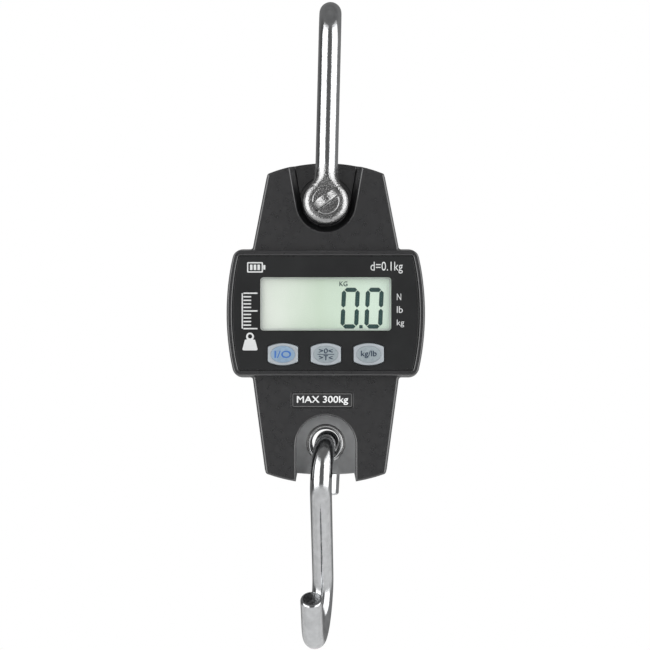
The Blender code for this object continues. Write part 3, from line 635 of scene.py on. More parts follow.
def battery_sleeve(name, flip):
    """A printed sleeve: dark, with a copper band at the button's end."""
    made = Finish(name, 0.25, 0.4)
    half = flip * 22 * MM
    share = made.spread(made.across(), 0.0, 1.0, -half, half)
    wobble = made.spread(made.noise(3.0), -0.004, 0.004)
    dark, copper, tin = (0.02, 0.022, 0.026), (0.50, 0.24, 0.09), (0.6, 0.6, 0.6)
    stops = [(0.02, tin), (0.05, dark), (0.68, dark), (0.69, copper), (0.93, copper), (0.96, tin)]
    tone = made.ramp(made.math("ADD", share, wobble), stops)
    return made.colour(tone).bump(made.noise(0.6), 0.003).material


CHROME = shackle_chrome()
HOOK_CHROME = metal("hook_chrome", (0.62, 0.63, 0.64), 0.10, grain=(0.8, 0.030), cloud=3.0)
CASE = plastic(
    "case_black", (0.015, 0.015, 0.016), 0.30, grain=(0.45, 0.0010), spread=0.06,
    Specular_IOR_Level=1.0, Coat_Weight=0.6, Coat_Roughness=0.12,
)
CELL_PAINT = metal("cell_paint", (0.34, 0.345, 0.35), 0.42, grain=(0.3, 0.010), metallic=0.1)
GLOSS = plastic("panel_gloss", (0.020, 0.0205, 0.021), 0.10, grain=(1.2, 0.0006), cloud=14.0)
LENS_CLEAR = plastic("lens", (0.20, 0.24, 0.21), 0.06, grain=(2.0, 0.0004), spread=0.02, Alpha=0.05)
LCD_PAINTED_GLOW = lcd_glass_painted_glow()
DIGIT = plastic("lcd_segments", (0.012, 0.045, 0.044), 0.35, grain=(0.15, 0.001))
INK = paint("white_ink", (0.58, 0.59, 0.59))
LABEL_INK = paint("label_ink", (0.80, 0.81, 0.81))
BLUE_INK = paint("blue_ink", (0.035, 0.13, 0.40))
NAVY_INK = paint("navy_ink", (0.02, 0.035, 0.06))
GREY_INK = paint("grey_ink", (0.12, 0.12, 0.12))
KEY_RIM = paint("key_rim", (0.34, 0.37, 0.395), 0.32, (0.2, 0.002))
KEY_BLUE = paint("key_blue", (0.215, 0.30, 0.40), 0.28, (0.3, 0.002))
KEY_GREY = paint("key_grey", (0.26, 0.30, 0.32), 0.28, (0.3, 0.002))
# painted highlight: a pale ring that stands in for the light caught by the lens's edge
EDGE_HIGHLIGHT = paint("window_edge_highlight", (0.58, 0.62, 0.60), 0.25, (0.2, 0.001))
LABEL_BLACK = plastic("label_black", (0.026, 0.026, 0.027), 0.34, grain=(0.3, 0.002))
RING_STEEL = metal("ring_steel", (0.55, 0.55, 0.55), 0.16, grain=(0.5, 0.004))
STEEL = metal("zinc_steel", (0.50, 0.50, 0.50), 0.28, grain=(0.2, 0.003))
SCREWS = numbered("shell_screw", 6) + numbered("cell_screw", 2) + numbered("board_screw", 4)
CONTACTS = ["contact_plate_start", "contact_plate_end", "contact_bridge_left", "contact_bridge_right"]
CAD_FINISHES = (
    (metal("gauge_foil", (0.55, 0.32, 0.10), 0.35, grain=(0.1, 0.002)), numbered("strain_gauge", 4)),
    (plastic("cable_grey", (0.22, 0.22, 0.22), 0.5), ["gauge_cable"]),
    (
        plastic("white_plastic", (0.72, 0.72, 0.69), 0.45, spread=0.04),
        ["lcd_holder", "sensor_plug"] + [f"plunger_{name}" for name in KEY_NAMES],
    ),
    (plastic("diffuser", (0.75, 0.80, 0.76), 0.35, spread=0.04), ["backlight"]),
    (plastic("zebra", (0.60, 0.20, 0.26), 0.6), ["zebra_strip"]),
    (plastic("board_green", (0.02, 0.13, 0.05), 0.35, cloud=1.2, spread=0.3), ["main_board"]),
    (
        plastic("chip_black", (0.015, 0.015, 0.015), 0.5),
        ["main_chip"] + [f"switch_{name}" for name in KEY_NAMES],
    ),
    (metal("tin", (0.62, 0.62, 0.62), 0.3), ["crystal"] + numbered("capacitor", 2)),
    (plastic("wire_red", (0.42, 0.015, 0.015), 0.4), ["battery_wire_red"]),
    (plastic("wire_black", (0.015, 0.015, 0.015), 0.4), ["battery_wire_black"]),
    (STEEL, SCREWS + numbered("battery_spring", 3) + CONTACTS),
)


def cad_finishes():
    """Gives each CAD node that stays in the scene its own procedural finish."""
    for material, nodes in CAD_FINISHES:
        for node in nodes:
            repaint(node, material)
    for i, node in enumerate(numbered("battery", 3)):
        repaint(node, battery_sleeve(f"sleeve_{i + 1}", 1 if i % 2 else -1))


def repaint(node, material):
    mesh = frame["nodes"][node].data
    mesh.materials.clear()
    mesh.materials.append(material)


# ---------------------------------------------------------------- shackle


def section(w, t, r, y, z):
    """A rounded rectangle around (y, z) in a level plane: half width w in X, half depth t in Y."""
    points = []
    for sx, sy, start in ((1, 1, 0), (-1, 1, 90), (-1, -1, 180), (1, -1, 270)):
        for x, dy in arc(sx * (w - r), sy * (t - r), r, start, start + 90, 10):
            points.append((x, y + dy, z))
    return points


def flare(side):
    """The round leg as it widens and flattens into its eye."""
    middle = side * sum(EYE_Y) / 2
    depth = (EYE_Y[1] - EYE_Y[0]) / 2
    start = ((2 * FLARE_R + EYE_R + BAR_R) * (EYE_R - BAR_R)) ** 0.5
    touch = start * EYE_R / (EYE_R + FLARE_R)
    top = start + 6.0
    rings = [section(BAR_R, BAR_R, BAR_R - 0.001, side * LEG_Y, top)]
    steps = 14
    for i in range(steps + 1):
        share = i / steps
        z = start + (touch - start) * share
        w = BAR_R + FLARE_R - (FLARE_R**2 - (start - z) ** 2) ** 0.5
        ease = share * share * (3 - 2 * share)
        t = BAR_R + (depth - BAR_R) * ease
        r = min(t, BAR_R + (FLARE_SOFT - BAR_R) * ease) - 0.001
        rings.append(section(w, t, r, side * LEG_Y + (middle - side * LEG_Y) * ease, z))
    rings.append(section(EYE_R * 0.7, depth - 0.05, FLARE_SOFT - 0.05, middle, touch * 0.5))
    return solid("flare", rings)


def eye(side):
    near, far = EYE_Y
    soft = EYE_SOFT
    rounds = [(near + soft - soft * c, EYE_R - soft + soft * s) for s, c in quarter(8)]
    rounds += [(far - soft + soft * s, EYE_R - soft + soft * c) for s, c in quarter(8)]
    return turned("eye", rounds, steps=96, side=side)


def shackle():
    seat = PIN.length
    bend_z = seat + BAR_R - LEG_Y
    foot = 16.0
    straight = [(-LEG_Y, foot + (bend_z - foot) * i / 6) for i in range(6)]
    path = straight + arc(0, bend_z, LEG_Y, 180, 0, 40) + [(-y, z) for y, z in reversed(straight)]
    bow = sweep("shackle", path, BAR_R, 40)
    join(bow, flare(FRONT), flare(BACK), eye(FRONT), eye(BACK))
    bores = [turned("bore", bored(*EYE_Y, PIN_HOLE_R), side=side) for side in (FRONT, BACK)]
    return finish(cut(bow, *bores), "shackle", CHROME, ["shackle_bow"], 40, turn=SHACKLE_LEAN)


def bored(near, far, r, lead=0.5):
    """Depth and radius of a bore, with a small lead-in on both faces."""
    return [(near - 1, r + lead + 1), (near + lead, r), (far - lead, r), (far + 1, r + lead + 1)]


def pin():
    """The screw pin with its collar and its flat lug."""
    collar_y = EYE_Y[1] + GAP
    soft = 0.6
    profile = [(-PIN_END_Y, 3.2), (-PIN_END_Y + 0.5, 4.0), (-PIN_END_Y + 1.0, PIN_R), (collar_y, PIN_R)]
    profile += [(collar_y, COLLAR_R - 0.3), (collar_y + 0.3, COLLAR_R)]
    profile += [(collar_y + COLLAR_T - soft + soft * s, COLLAR_R - soft * (1 - c)) for s, c in quarter()]
    body = turned("pin", profile, side=FRONT)
    lug_y = -(collar_y + COLLAR_T + LUG_R - 0.9)
    half = LUG_T / 2
    edge = 0.9
    rounds = [(-half + edge - edge * c, edge * (1 - s)) for s, c in quarter()]
    rounds += [(half - edge + edge * s, edge * (1 - c)) for s, c in quarter()]
    lug = solid("lug", [[(x, y, z) for x, y in circle(0, lug_y, LUG_R - step)] for z, step in rounds])
    hole = [[(x, y, z) for x, y in circle(0, lug_y, r)] for z, r in bored(-half, half, LUG_HOLE_R)]
    cut(lug, solid("hole", hole))
    lug.data.transform(Matrix.Rotation(-radians(LUG_TURN), 4, "Y"))
    return finish(join(body, lug), "shackle", CHROME, ["shackle_pin"], 40, turn=SHACKLE_LEAN)


# ---------------------------------------------------------------- load cell and hook


def load_plate():
    """The load cell: a cast plate with a dished hook hole and its spring eyes and slots."""
    w, t, top, bottom = CELL
    foot = bowed(w, bottom + 1.1, -1.1)
    outline = mirrored([(w, bottom + 1.1, 1.2), (w, top - 4, 1.0), (w - 6, top, 1.0)], foot=foot)
    edge = 0.5
    levels = [(-t + edge * (1 - c), inset(outline, edge * (1 - s))) for s, c in quarter()]
    plate = stack("load_plate", levels + [(-y, shape) for y, shape in reversed(levels)])
    dish = [(t + 1.0, SINK_R), (t - 3.3, SINK_R), (t - 3.3, HOOK_HOLE_R)]
    sink = [(t - 2.6, HOOK_HOLE_R), (t, SINK_R - 0.4), (t + 1.0, SINK_R + 0.6)]
    hole = turned("hook_hole", [(-y, r) for y, r in dish] + sink, z=HOOK_Z, steps=96)
    tools = [hole, prism("pin_hole", circle(0, 0, PIN_HOLE_R), -9, 9)]
    tools += [prism("slit", block(31, 1.6, CELL_MIDDLE + s * 10, x=-s * 4.5), -9, 9) for s in (-1, 1)]
    tools += rods([(s * CELL_EYE[0], CELL_MIDDLE) for s in (-1, 1)], CELL_EYE[1], -9, 9, steps=48)
    tools += [prism("waist", block(14, 3.2, CELL_MIDDLE), -9, 9)]
    tools += rods(CELL_SCREWS, 1.9, -9, 9)
    return finish(cut(plate, *tools), "casing", CELL_PAINT, ["load_cell"])


def hole_ring():
    """The turned steel ring that lines the front of the hook's hole."""
    y = CELL[1]
    rim = SINK_R - 0.1
    inner = [
        (y - 4.0, HOOK_HOLE_R), (y - 1.4, HOOK_HOLE_R + 0.1), (y - 0.85, rim - 1.9), (y - 0.5, rim - 1.2),
        (y - 0.5, rim - 0.7), (y + 0.15, rim - 0.6), (y + 1.0, rim - 0.6),
    ]
    outer = [(y - 3.2, rim), (y - 0.1, rim), (y + 0.2, rim - 0.65)]
    ring = turned("hole_ring", outer, z=HOOK_Z, steps=96, side=FRONT)
    cut(ring, turned("inner", inner, z=HOOK_Z, steps=96, side=FRONT))
    return finish(ring, "casing", RING_STEEL)


def hook():
    """The S-hook, in its own plane, with Y from the tip to the tail."""
    top_r, top = HOOK_TOP
    bowl_r, bowl_y, bowl_z = HOOK_BOWL
    across, down = bowl_y, top - bowl_z
    slant = degrees(asin((top_r + bowl_r) / hypot(across, down)) + atan2(across, down))
    tail = [(top_r, top - HOOK_TAIL + HOOK_TAIL * i / 3) for i in range(3)]
    path = tail + arc(0, top, top_r, 0, 180 + slant, 56)
    bowl = arc(bowl_y, bowl_z, bowl_r, slant, -90 - HOOK_TIP_TURN, 56)
    turn = radians(HOOK_TIP_TURN)
    end = bowl[-1]
    (y0, z0), (y1, z1) = path[-1], bowl[0]
    shank = [(y0 + (y1 - y0) * k, z0 + (z1 - z0) * k) for k in (0.25, 0.5, 0.75)]
    tip = [(end[0] - cos(turn) * s, end[1] + sin(turn) * s) for s in (HOOK_TIP / 2, HOOK_TIP)]
    bar = sweep("hook", path + shank + bowl + tip, HOOK_R, 40, HOOK_SOFT)
    hang = Matrix.Rotation(radians(HOOK_LEAN), 4, "Y") @ Matrix.Rotation(radians(-HOOK_YAW), 4, "Z")
    at = JOINTS["hook_pivot"] + Vector((HOOK_SIDE, 0, 0))
    return finish(bar, "hook", HOOK_CHROME, ["load_hook"], 60, at, hang)


# ---------------------------------------------------------------- casing


def boss_end(z):
    """How far out a screw's boss reaches: into the wall of the box, or of the plain shell."""
    return INNER_Y + 0.5 if abs(z - BOX_Z) < BOX_HALF_H else CASE_Y - WALL + 0.5


def casing_body(name, side):
    """One half of the casing: the long case, the display box on it and the fillets between them."""
    body = stack(name, tier(case_outline(), CASE_Y, DRAFT, CASE_SOFT), side)
    box = stack("box", tier(box_outline(), BOX_Y, BOX_DRAFT, BOX_SOFT), side)
    edge = edge_steps(CASE_Y - 0.01, DRAFT, CASE_SOFT)
    fills = []
    for corner in ((x, z) for x in (-1, 1) for z in (-1, 1)):
        fills.append(stack("fill", [(y, join_outline(*corner, shrink)) for y, shrink in edge], side))
    return join(body, box, *fills)


def casing_room(side):
    """The space inside one half, clear of the walls of its pocket and notch."""
    case, box = inset(case_outline(CASE_CORNER_R + WALL), WALL), inset(box_outline(), WALL)
    room = stack("room", [(-1.0, case), (CASE_Y - WALL, inset(case, DRAFT))], side)
    floor_y = INNER_Y if side == FRONT else BOX_Y - WALL
    join(room, stack("box_room", [(-1.0, box), (floor_y, inset(box, BOX_DRAFT))], side))
    return cut(
        room,
        prism("pocket_wall", pocket_outline(POCKET_R + LINER, 60), POCKET_Y - LINER, FAR, side),
        prism("notch_wall", notch_outline(NOTCH_R + LINER), CELL[1] + SLOT_PLAY, FAR, side),
    )


def casing_ends(side):
    """The pocket round the shackle's eye, the pin's way, the notch and the load cell's slot."""
    half_w, half_t, top, bottom = CELL
    slot = block(2 * half_w + 1.2, top - bottom + 1.7, (top + bottom) / 2 - 0.05)
    return [
        stack("pocket", well(pocket_outline(), POCKET_Y, CASE_Y, POCKET_LEAN, 0.9, 0.7), side),
        turned("pin_way", [(5, PIN_R + 1.2), (30, PIN_R + 1.2)], side=side),
        stack("notch", [(-1.0, notch_outline())] + well(notch_outline(), 4.0, CASE_Y, 0, 0.8), side),
        prism("slot", slot, -1, half_t + SLOT_PLAY, side),
    ]


def pocket_step(side):
    """The raised floor of the pocket above the dish in which the shackle's eye turns."""
    low, high, edge = POCKET_Y - 0.8, POCKET_Y + 0.7, 0.3
    outline = pocket_outline(POCKET_R - POCKET_LEAN, 15.5)
    levels = [(low, inset(outline, 0.3))]
    levels += [(high - edge + edge * s, inset(outline, 0.3 + edge * (1 - c))) for s, c in quarter()]
    dish = well(circle(0, 0, DISH_R, 96), low - 1, high, 0, edge)
    return cut(stack("pocket_step", levels, side), stack("dish", dish, side))


def casing_front():
    body = casing_body("casing_front", FRONT)
    cut(body, casing_room(FRONT))
    bosses = [prism("boss", circle(x, z, BOSS_R, 24), PARTING, boss_end(z), FRONT) for x, z in SHELL_SCREWS]
    join(body, *bosses, *rods(BOARD_SCREWS, POST_R, 11.9, INNER_Y + 0.5, FRONT, 20))
    tools = rods(SHELL_SCREWS, 1.6, -1, 11.5, FRONT, 16) + rods(BOARD_SCREWS, 1.3, 5, 16.5, FRONT, 16)
    tools += [stack("recess", well(panel_outline(GAP), RECESS_Y, BOX_Y, 0, 0.65), FRONT)]
    tools += [prism("window", block(WINDOW[0] + 1, WINDOW[1] + 1, WINDOW_Z, 1.5), 10, 30, FRONT)]
    tools += [prism("key_way", moved(key_outline(GAP), at.x, at.z), 10, 30, FRONT) for at in KEYS.values()]
    sunk = block(LABEL[0] + 0.6, LABEL[1] + 0.6, LABEL_Z, 0.6, LABEL_X)
    tools += [stack("label", well(sunk, CASE_Y - 0.8, CASE_Y, 0, 0.2), FRONT)]
    cut(body, *casing_ends(FRONT), *tools)
    return finish(join(body, pocket_step(FRONT)), "casing", CASE, ["front_shell"])


def casing_back():
    body = casing_body("casing_back", BACK)
    bay = block(BAY[0] + 2 * LINER, BAY[1] + 2 * LINER, BOX_Z)
    seat_y = COVER_Y[0] - GAP
    lock = [(0, COVER_SCREW_Z)]
    room = cut(
        casing_room(BACK),
        prism("bay_wall", bay, CELL[1] + SLOT_PLAY, FAR),
        prism("ledge", cover_outline(LINER + GAP), seat_y - LINER, FAR),
        *rods(SHELL_SCREWS, BOSS_R + 1, -2, FAR),
        *rods(CELL_SCREWS, 3.4, 5, FAR),
        *rods(lock, BOSS_R, 9.0, FAR),
    )
    cut(body, room)
    tools = rods(SHELL_SCREWS, 1.7, -1, FAR, steps=16)
    tools += [stack("head", well(circle(x, z, 3.0, 32), 4.0, back_face(z), 0, 0.4)) for x, z in SHELL_SCREWS]
    tools += rods(CELL_SCREWS, 1.8, 5, 11.5, steps=16)
    tools += [stack("bay", well(block(*BAY, BOX_Z, 0.8), BAY_FLOOR_Y, FAR, 0, 0, 0.5))]
    tools += [stack("seat", well(cover_outline(GAP), seat_y, BOX_Y, 0, 0.3))]
    tools += rods(lock, 1.5, 11.0, FAR, steps=16)
    tools += [prism("wire_way", block(3, 2.4, BOX_Z + z, x=27), 9, 11.5) for z in (-WIRE_DZ, WIRE_DZ)]
    cut(body, *casing_ends(BACK), *tools)
    return finish(join(body, pocket_step(BACK)), "casing", CASE, ["rear_shell"])


def back_face(z):
    return BOX_Y if abs(z - BOX_Z) < BOX_HALF_H else CASE_Y


def battery_door():
    """The lift-off cover: a locating lip, moulded grips and a dished screw seat."""
    low, high = COVER_Y
    door = stack("battery_door", slab(cover_outline(), low, high, 0.45))
    lip = prism("lip", block(BAY[0] - 2 * GAP, BAY[1] - 2 * GAP, BOX_Z, 0.5), low - 0.7, low + 0.5)
    cut(lip, prism("hollow", block(BAY[0] - 2.6, BAY[1] - 2.6, BOX_Z, 0.3), 10, 30))
    join(door, lip)
    tools = rods([(0, COVER_SCREW_Z)], 1.6, 10, 30)
    tools += [stack("sink", well(circle(0, COVER_SCREW_Z, 2.7), high - 0.6, high, 0, 0.2))]
    for i in range(5):
        groove = block(16 - abs(i - 2) * 2.2, 0.8, BOX_Z + 9.4 + 1.8 * i, 0.39)
        tools.append(stack("grip", well(groove, high - 0.5, high, 0.1, 0.15)))
    return finish(cut(door, *tools), "battery_lid", CASE, ["battery_cover"])


def door_screw():
    """The pan-head screw with its cross recess."""
    top = COVER_Y[1] + 0.9
    head_r, seat = 2.3, COVER_Y[1] - 0.3
    dome = [(seat, head_r), (seat + 0.3, head_r)]
    dome += [(seat + 0.3 + (top - seat - 0.3) * s, head_r * (0.45 + 0.55 * c)) for s, c in quarter()[1:]]
    shank = [(seat - 8.0, 0.5), (seat - 7.0, 1.2), (seat, 1.2)]
    screw = turned("door_screw", shank + dome, z=COVER_SCREW_Z, steps=48)
    slots = [block(*size, COVER_SCREW_Z, 0.1) for size in ((2.6, 0.6), (0.6, 2.6))]
    arms = [prism("arm", slot, top - 0.8, top + 1) for slot in slots]
    return finish(cut(screw, *arms), "battery_lid", STEEL, ["cover_screw"])


# ---------------------------------------------------------------- display


def face_panel():
    low, high = PANEL_Y
    panel = stack("overlay", slab(panel_outline(), low, high, 0.2, 4), FRONT)
    tools = [stack("window", well(block(*WINDOW, WINDOW_Z, 1.3), 10, high, 0, 0.15), FRONT)]
    for at in KEYS.values():
        tools.append(stack("way", well(moved(key_outline(GAP), at.x, at.z), 10, high, 0, 0.12), FRONT))
    return finish(cut(panel, *tools), "casing", GLOSS, ["face_panel"])


def lens_outline():
    return block(WINDOW[0] - 2 * GAP, WINDOW[1] - 2 * GAP, WINDOW_Z, 1.1)


def lens():
    levels = slab(lens_outline(), LENS_BACK_Y, PANEL_Y[1], 0.25, 4)
    return finish(stack("window_lens", levels, FRONT), "casing", LENS_CLEAR, ["display_lens"])


def window_edge_highlight():
    """A pale ring behind the lens's edge: a painted highlight standing for the bright line of the edge
    around the display.
    """
    outer = lens_outline()
    ring = prism("window_edge_highlight", outer, LENS_BACK_Y - 0.15, LENS_BACK_Y - 0.02, FRONT)
    cut(ring, prism("inside", inset(outer, 0.42), 10, 30, FRONT))
    return finish(ring, "casing", EDGE_HIGHLIGHT)


def lcd():
    shape = block(*LCD_SIZE, WINDOW_Z, 0.4)
    high = INNER_Y - GAP
    panel = stack("lcd_glass_painted_glow", [(LCD_BACK_Y, shape), (high - 0.2, shape), (high, inset(shape, 0.2))], FRONT)
    return finish(panel, "casing", LCD_PAINTED_GLOW, ["lcd_panel"])


def segment(start, end, width):
    """One bar of a figure, pointed at both ends."""
    a, b = Vector(start), Vector(end)
    along = (b - a).normalized()
    side = Vector((-along.y, along.x)) * (width / 2)
    reach = along * (width / 2)
    return [tuple(p) for p in (a, a + reach - side, b - reach - side, b, b - reach + side, a + reach + side)]


def figure(x, z, w, h, width, lit):
    """Outlines of a figure's lit bars: a to f are clockwise from the top, and g is the middle one."""
    tilt = 0.045
    gap = 0.22
    half_w, half_h = (w - width) / 2, (h - width) / 2
    ends = {
        "a": ((-1, 1), (1, 1)), "b": ((1, 1), (1, 0)), "c": ((1, 0), (1, -1)), "d": ((1, -1), (-1, -1)),
        "e": ((-1, -1), (-1, 0)), "f": ((-1, 0), (-1, 1)), "g": ((-1, 0), (1, 0)),
    }

    def corner(sx, sz):
        return Vector((x + sx * half_w + tilt * sz * half_h, z + sz * half_h))

    for name in lit:
        start, end = (corner(*signs) for signs in ends[name])
        step = (end - start).normalized() * gap
        yield segment(start + step, end - step, width)


def digits():
    """The reading 0.0, without the unit above it."""
    y = INNER_Y - GAP
    w, h, width = 7.95, 18.1, 1.9
    z = WINDOW_Z - 1.85
    shapes = []
    for x in (10.75, 21.35):
        shapes += list(figure(x, z, w, h, width, "abcdef"))
    shapes.append(block(1.5, 1.5, z - h / 2 + 0.85, 0.2, 15.55))
    return printed("lcd_digits", shapes, y, DIGIT, "casing", 0.05)


def film(name, shape, y, thick=PRINT_T):
    """A thin plate on a face at depth y, let a little into it."""
    return prism(name, shape, y - PRINT_SINK, y + thick, FRONT)


def printed(name, shapes, y, material, body, thick=PRINT_T, lift=None):
    """Printing on a face at depth y, as one object."""
    plates = [film(name, shape, y, thick) for shape in shapes]
    return finish(draped(merged(name, plates), lift), body, material)


def draped(obj, lift):
    """Raises printing off its flat face by lift(x, z), where the face is domed."""
    if not lift:
        return obj
    bm = bmesh.new()
    bm.from_mesh(obj.data)
    step = 0.5 * MM  # between the cuts that let a flat face bend
    for axis in (0, 2):
        low = min(v.co[axis] for v in bm.verts)
        high = max(v.co[axis] for v in bm.verts)
        normal = Vector((axis == 0, 0, axis == 2))
        for i in range(1, int((high - low) / step) + 1):
            geometry = bm.verts[:] + bm.edges[:] + bm.faces[:]
            bmesh.ops.bisect_plane(bm, geom=geometry, plane_co=normal * (low + i * step), plane_no=normal)
    for vertex in bm.verts:
        vertex.co.y -= lift(vertex.co.x / MM, vertex.co.z / MM) * MM
    bm.to_mesh(obj.data)
    bm.free()
    return obj


def merged(name, objects):
    """Several plates as one object, with their surfaces left as they are."""
    bm = bmesh.new()
    for obj in objects:
        bm.from_mesh(obj.data)
        bpy.data.objects.remove(obj)
    mesh = bpy.data.meshes.new(name)
    bm.to_mesh(mesh)
    bm.free()
    made = bpy.data.objects.new(name, mesh)
    bpy.context.scene.collection.objects.link(made)
    return made


def lettering(name, text, size, x, z, y, material, body, lift=None, bold=0.0):
    """Text as thin plates, fitted to a width and height around (x, z), and thickened by bold."""
    curve = bpy.data.curves.new(name, "FONT")
    curve.body = text
    curve.extrude = 0.05
    curve.resolution_u = 3
    source = bpy.data.objects.new(name, curve)
    bpy.context.scene.collection.objects.link(source)
    bpy.context.view_layer.update()
    mesh = bpy.data.meshes.new_from_object(source.evaluated_get(bpy.context.evaluated_depsgraph_get()))
    bpy.data.objects.remove(source)
    lows = [min(v.co[i] for v in mesh.vertices) for i in range(3)]
    highs = [max(v.co[i] for v in mesh.vertices) for i in range(3)]
    middle = (Vector(lows) + Vector(highs)) / 2
    depth = PRINT_T + PRINT_SINK
    scale = [size[0] / (highs[0] - lows[0]), size[1] / (highs[1] - lows[1]), depth / (highs[2] - lows[2])]
    fitted = Matrix.Diagonal((*scale, 1.0)) @ Matrix.Translation(-middle)
    upright = Matrix.Rotation(radians(90), 4, "X")
    to_face = Matrix.Translation(Vector((x, -y - PRINT_T + depth / 2, z)))
    mesh.transform(Matrix.Scale(MM, 4) @ to_face @ upright @ fitted)
    plates = []
    for i, side in enumerate((-1, 1) if bold else (0,)):
        plate = bpy.data.objects.new(name, mesh.copy())
        bpy.context.scene.collection.objects.link(plate)
        step = Vector((side * bold / 2, i * 0.002, side * bold / 2))
        plate.data.transform(Matrix.Translation(step * MM))
        plates.append(plate)
    bpy.data.meshes.remove(mesh)
    return finish(draped(merged(name, plates), lift), body, material)


def panel_print():
    """The printing on the overlay: units, division, a battery mark and a weight mark with its scale."""
    y = PANEL_Y[1]
    for text, width, height, z in (("N", 1.9, 2.9, -42.2), ("lb", 2.6, 2.9, -47.8), ("kg", 3.2, 3.4, -53.9)):
        lettering(f"unit_{text.lower()}", text, (width, height), 31.3 + width / 2, z, y, INK, "casing")
    lettering("division", "d=0.1kg", (14.2, 5.2), 26.8, -29.3, y, INK, "casing")
    battery_x, battery_z = -31.2, -29.2
    outer, inner = block(7.0, 4.6, battery_z, 0.5, battery_x), block(5.9, 3.5, battery_z, 0.2, battery_x)
    ring = cut(film("ring", outer, y), prism("inside", inner, y - 1, y + 1, FRONT))
    marks = [block(0.9, 2.0, battery_z, 0.2, battery_x + 4.1)]
    marks += [block(1.1, 2.4, battery_z, 0.1, battery_x + step * 1.65) for step in (-1, 0, 1)]
    finish(merged("battery_mark", [ring] + [film("mark", shape, y) for shape in marks]), "casing", INK)
    weight_mark(-33.4, -62.6, y)
    tick_scale(-33.4, -40.6, -56.2, y)


def weight_mark(x, z, y):
    """A pictogram of a weight: a tapered body with a ring on top."""
    corners = ((3.5, -3.2), (2.2, 1.6), (-2.2, 1.6), (-3.5, -3.2))
    body = rounded([(x + dx, z + dz, 0.6) for dx, dz in corners])
    plate = join(film("weight_mark", body, y), film("ring", circle(x, z + 2.9, 1.75, 32), y))
    cut(plate, prism("eye", circle(x, z + 3.0, 0.95, 32), y - 1, y + 1, FRONT))
    return finish(plate, "casing", INK)


def tick_scale(x, top, bottom, y):
    """A vertical graduated line, with every fifth tick longer."""
    count = 10
    marks = [block(0.55, top - bottom, (top + bottom) / 2, 0.1, x - 3.4)]
    for i in range(count + 1):
        long = 6.2 if i % 5 == 0 else 3.4
        marks.append(block(long, 0.6, bottom + (top - bottom) * i / count, 0.1, x - 3.0 + long / 2 + 0.1))
    printed("tick_scale", marks, y, INK, "casing")


def dome_height(x, z):
    """How far a key's dome stands above its edge, around the key's middle."""
    half_w, half_h = KEY_DOME
    return KEY_DOME_RISE * max(0.0, 1 - (x / half_w) ** 2 - (z / half_h) ** 2) ** 0.5


def key(name):
    """A key: a pale rim with a tinted dome let into it."""
    at = KEYS[name]
    body = f"key_{name}"
    outline = key_outline()
    low, face = INNER_Y - GAP, KEY_FACE_Y
    flange = [(KEY_BACK_Y, key_outline(0.5)), (low, key_outline(0.5))]
    rim = stack(f"key_rim_{name}", flange + slab(outline, low, face, 0.55), FRONT)
    half_w, half_h = KEY_DOME
    dish = well(ellipse(0, 0, half_w + 0.15, half_h + 0.15), face - 0.25, face, 0, 0.12)
    cut(rim, stack("dish", dish, FRONT))
    finish(rim, body, KEY_RIM, [f"key_{name}"], at=PIN + at)
    dome = [(KEY_DOME_Y - 0.1, ellipse(0, 0, half_w, half_h))]
    for i in range(10):
        turn = pi / 2 * i / 10
        shape = ellipse(0, 0, half_w * cos(turn), half_h * cos(turn))
        dome.append((KEY_DOME_Y + KEY_DOME_RISE * sin(turn), shape))
    tint = KEY_BLUE if name == "power" else KEY_GREY
    return finish(stack(f"key_dome_{name}", dome, FRONT), body, tint, at=PIN + at)


def key_print():
    """Symbols on the keys: on and off, zero over tare, and the units."""
    for name, key_name, text, size, dz, ink in (
        ("print_power", "power", "I/O", (7.2, 3.1), 0.0, BLUE_INK),
        ("print_zero", "hold", ">0<", (6.0, 2.1), 1.5, NAVY_INK),
        ("print_tare", "hold", ">T<", (6.0, 2.1), -1.5, NAVY_INK),
        ("print_unit", "unit", "kg/lb", (6.8, 3.2), 0.0, NAVY_INK),
    ):
        at = KEYS[key_name]
        lift = lambda x, z, at=at: dome_height(x - at.x, z - at.z)
        lettering(name, text, size, at.x, at.z + dz, KEY_DOME_Y, ink, f"key_{key_name}", lift, 0.18)
    at = KEYS["hold"]
    steps = [-3.7 + 7.4 * i / 16 for i in range(17)]
    bar = [(at.x + x, at.z - 0.15) for x in steps] + [(at.x + x, at.z + 0.15) for x in reversed(steps)]
    lift = lambda x, z: dome_height(x - at.x, z - at.z)
    printed("print_divider", [bar], KEY_DOME_Y, NAVY_INK, "key_hold", lift=lift)


def capacity_label():
    """The capacity plate: a thin line round the text."""
    y = CASE_Y - 0.1
    shape = block(*LABEL, LABEL_Z, 0.9, LABEL_X)
    plate = prism("label_plate", shape, CASE_Y - 0.5, y, FRONT)
    finish(plate, "casing", LABEL_BLACK, ["capacity_label"])
    inside = prism("inside", inset(shape, 0.58), y - 1, y + 1, FRONT)
    finish(cut(film("label_line", inset(shape, 0.25), y), inside), "casing", GREY_INK)
    x, z = LABEL_X + 0.15, LABEL_Z - 0.1
    lettering("label_text", "MAX 300kg", (22.7, 3.9), x, z, y, LABEL_INK, "casing", bold=0.15)


# ---------------------------------------------------------------- scene


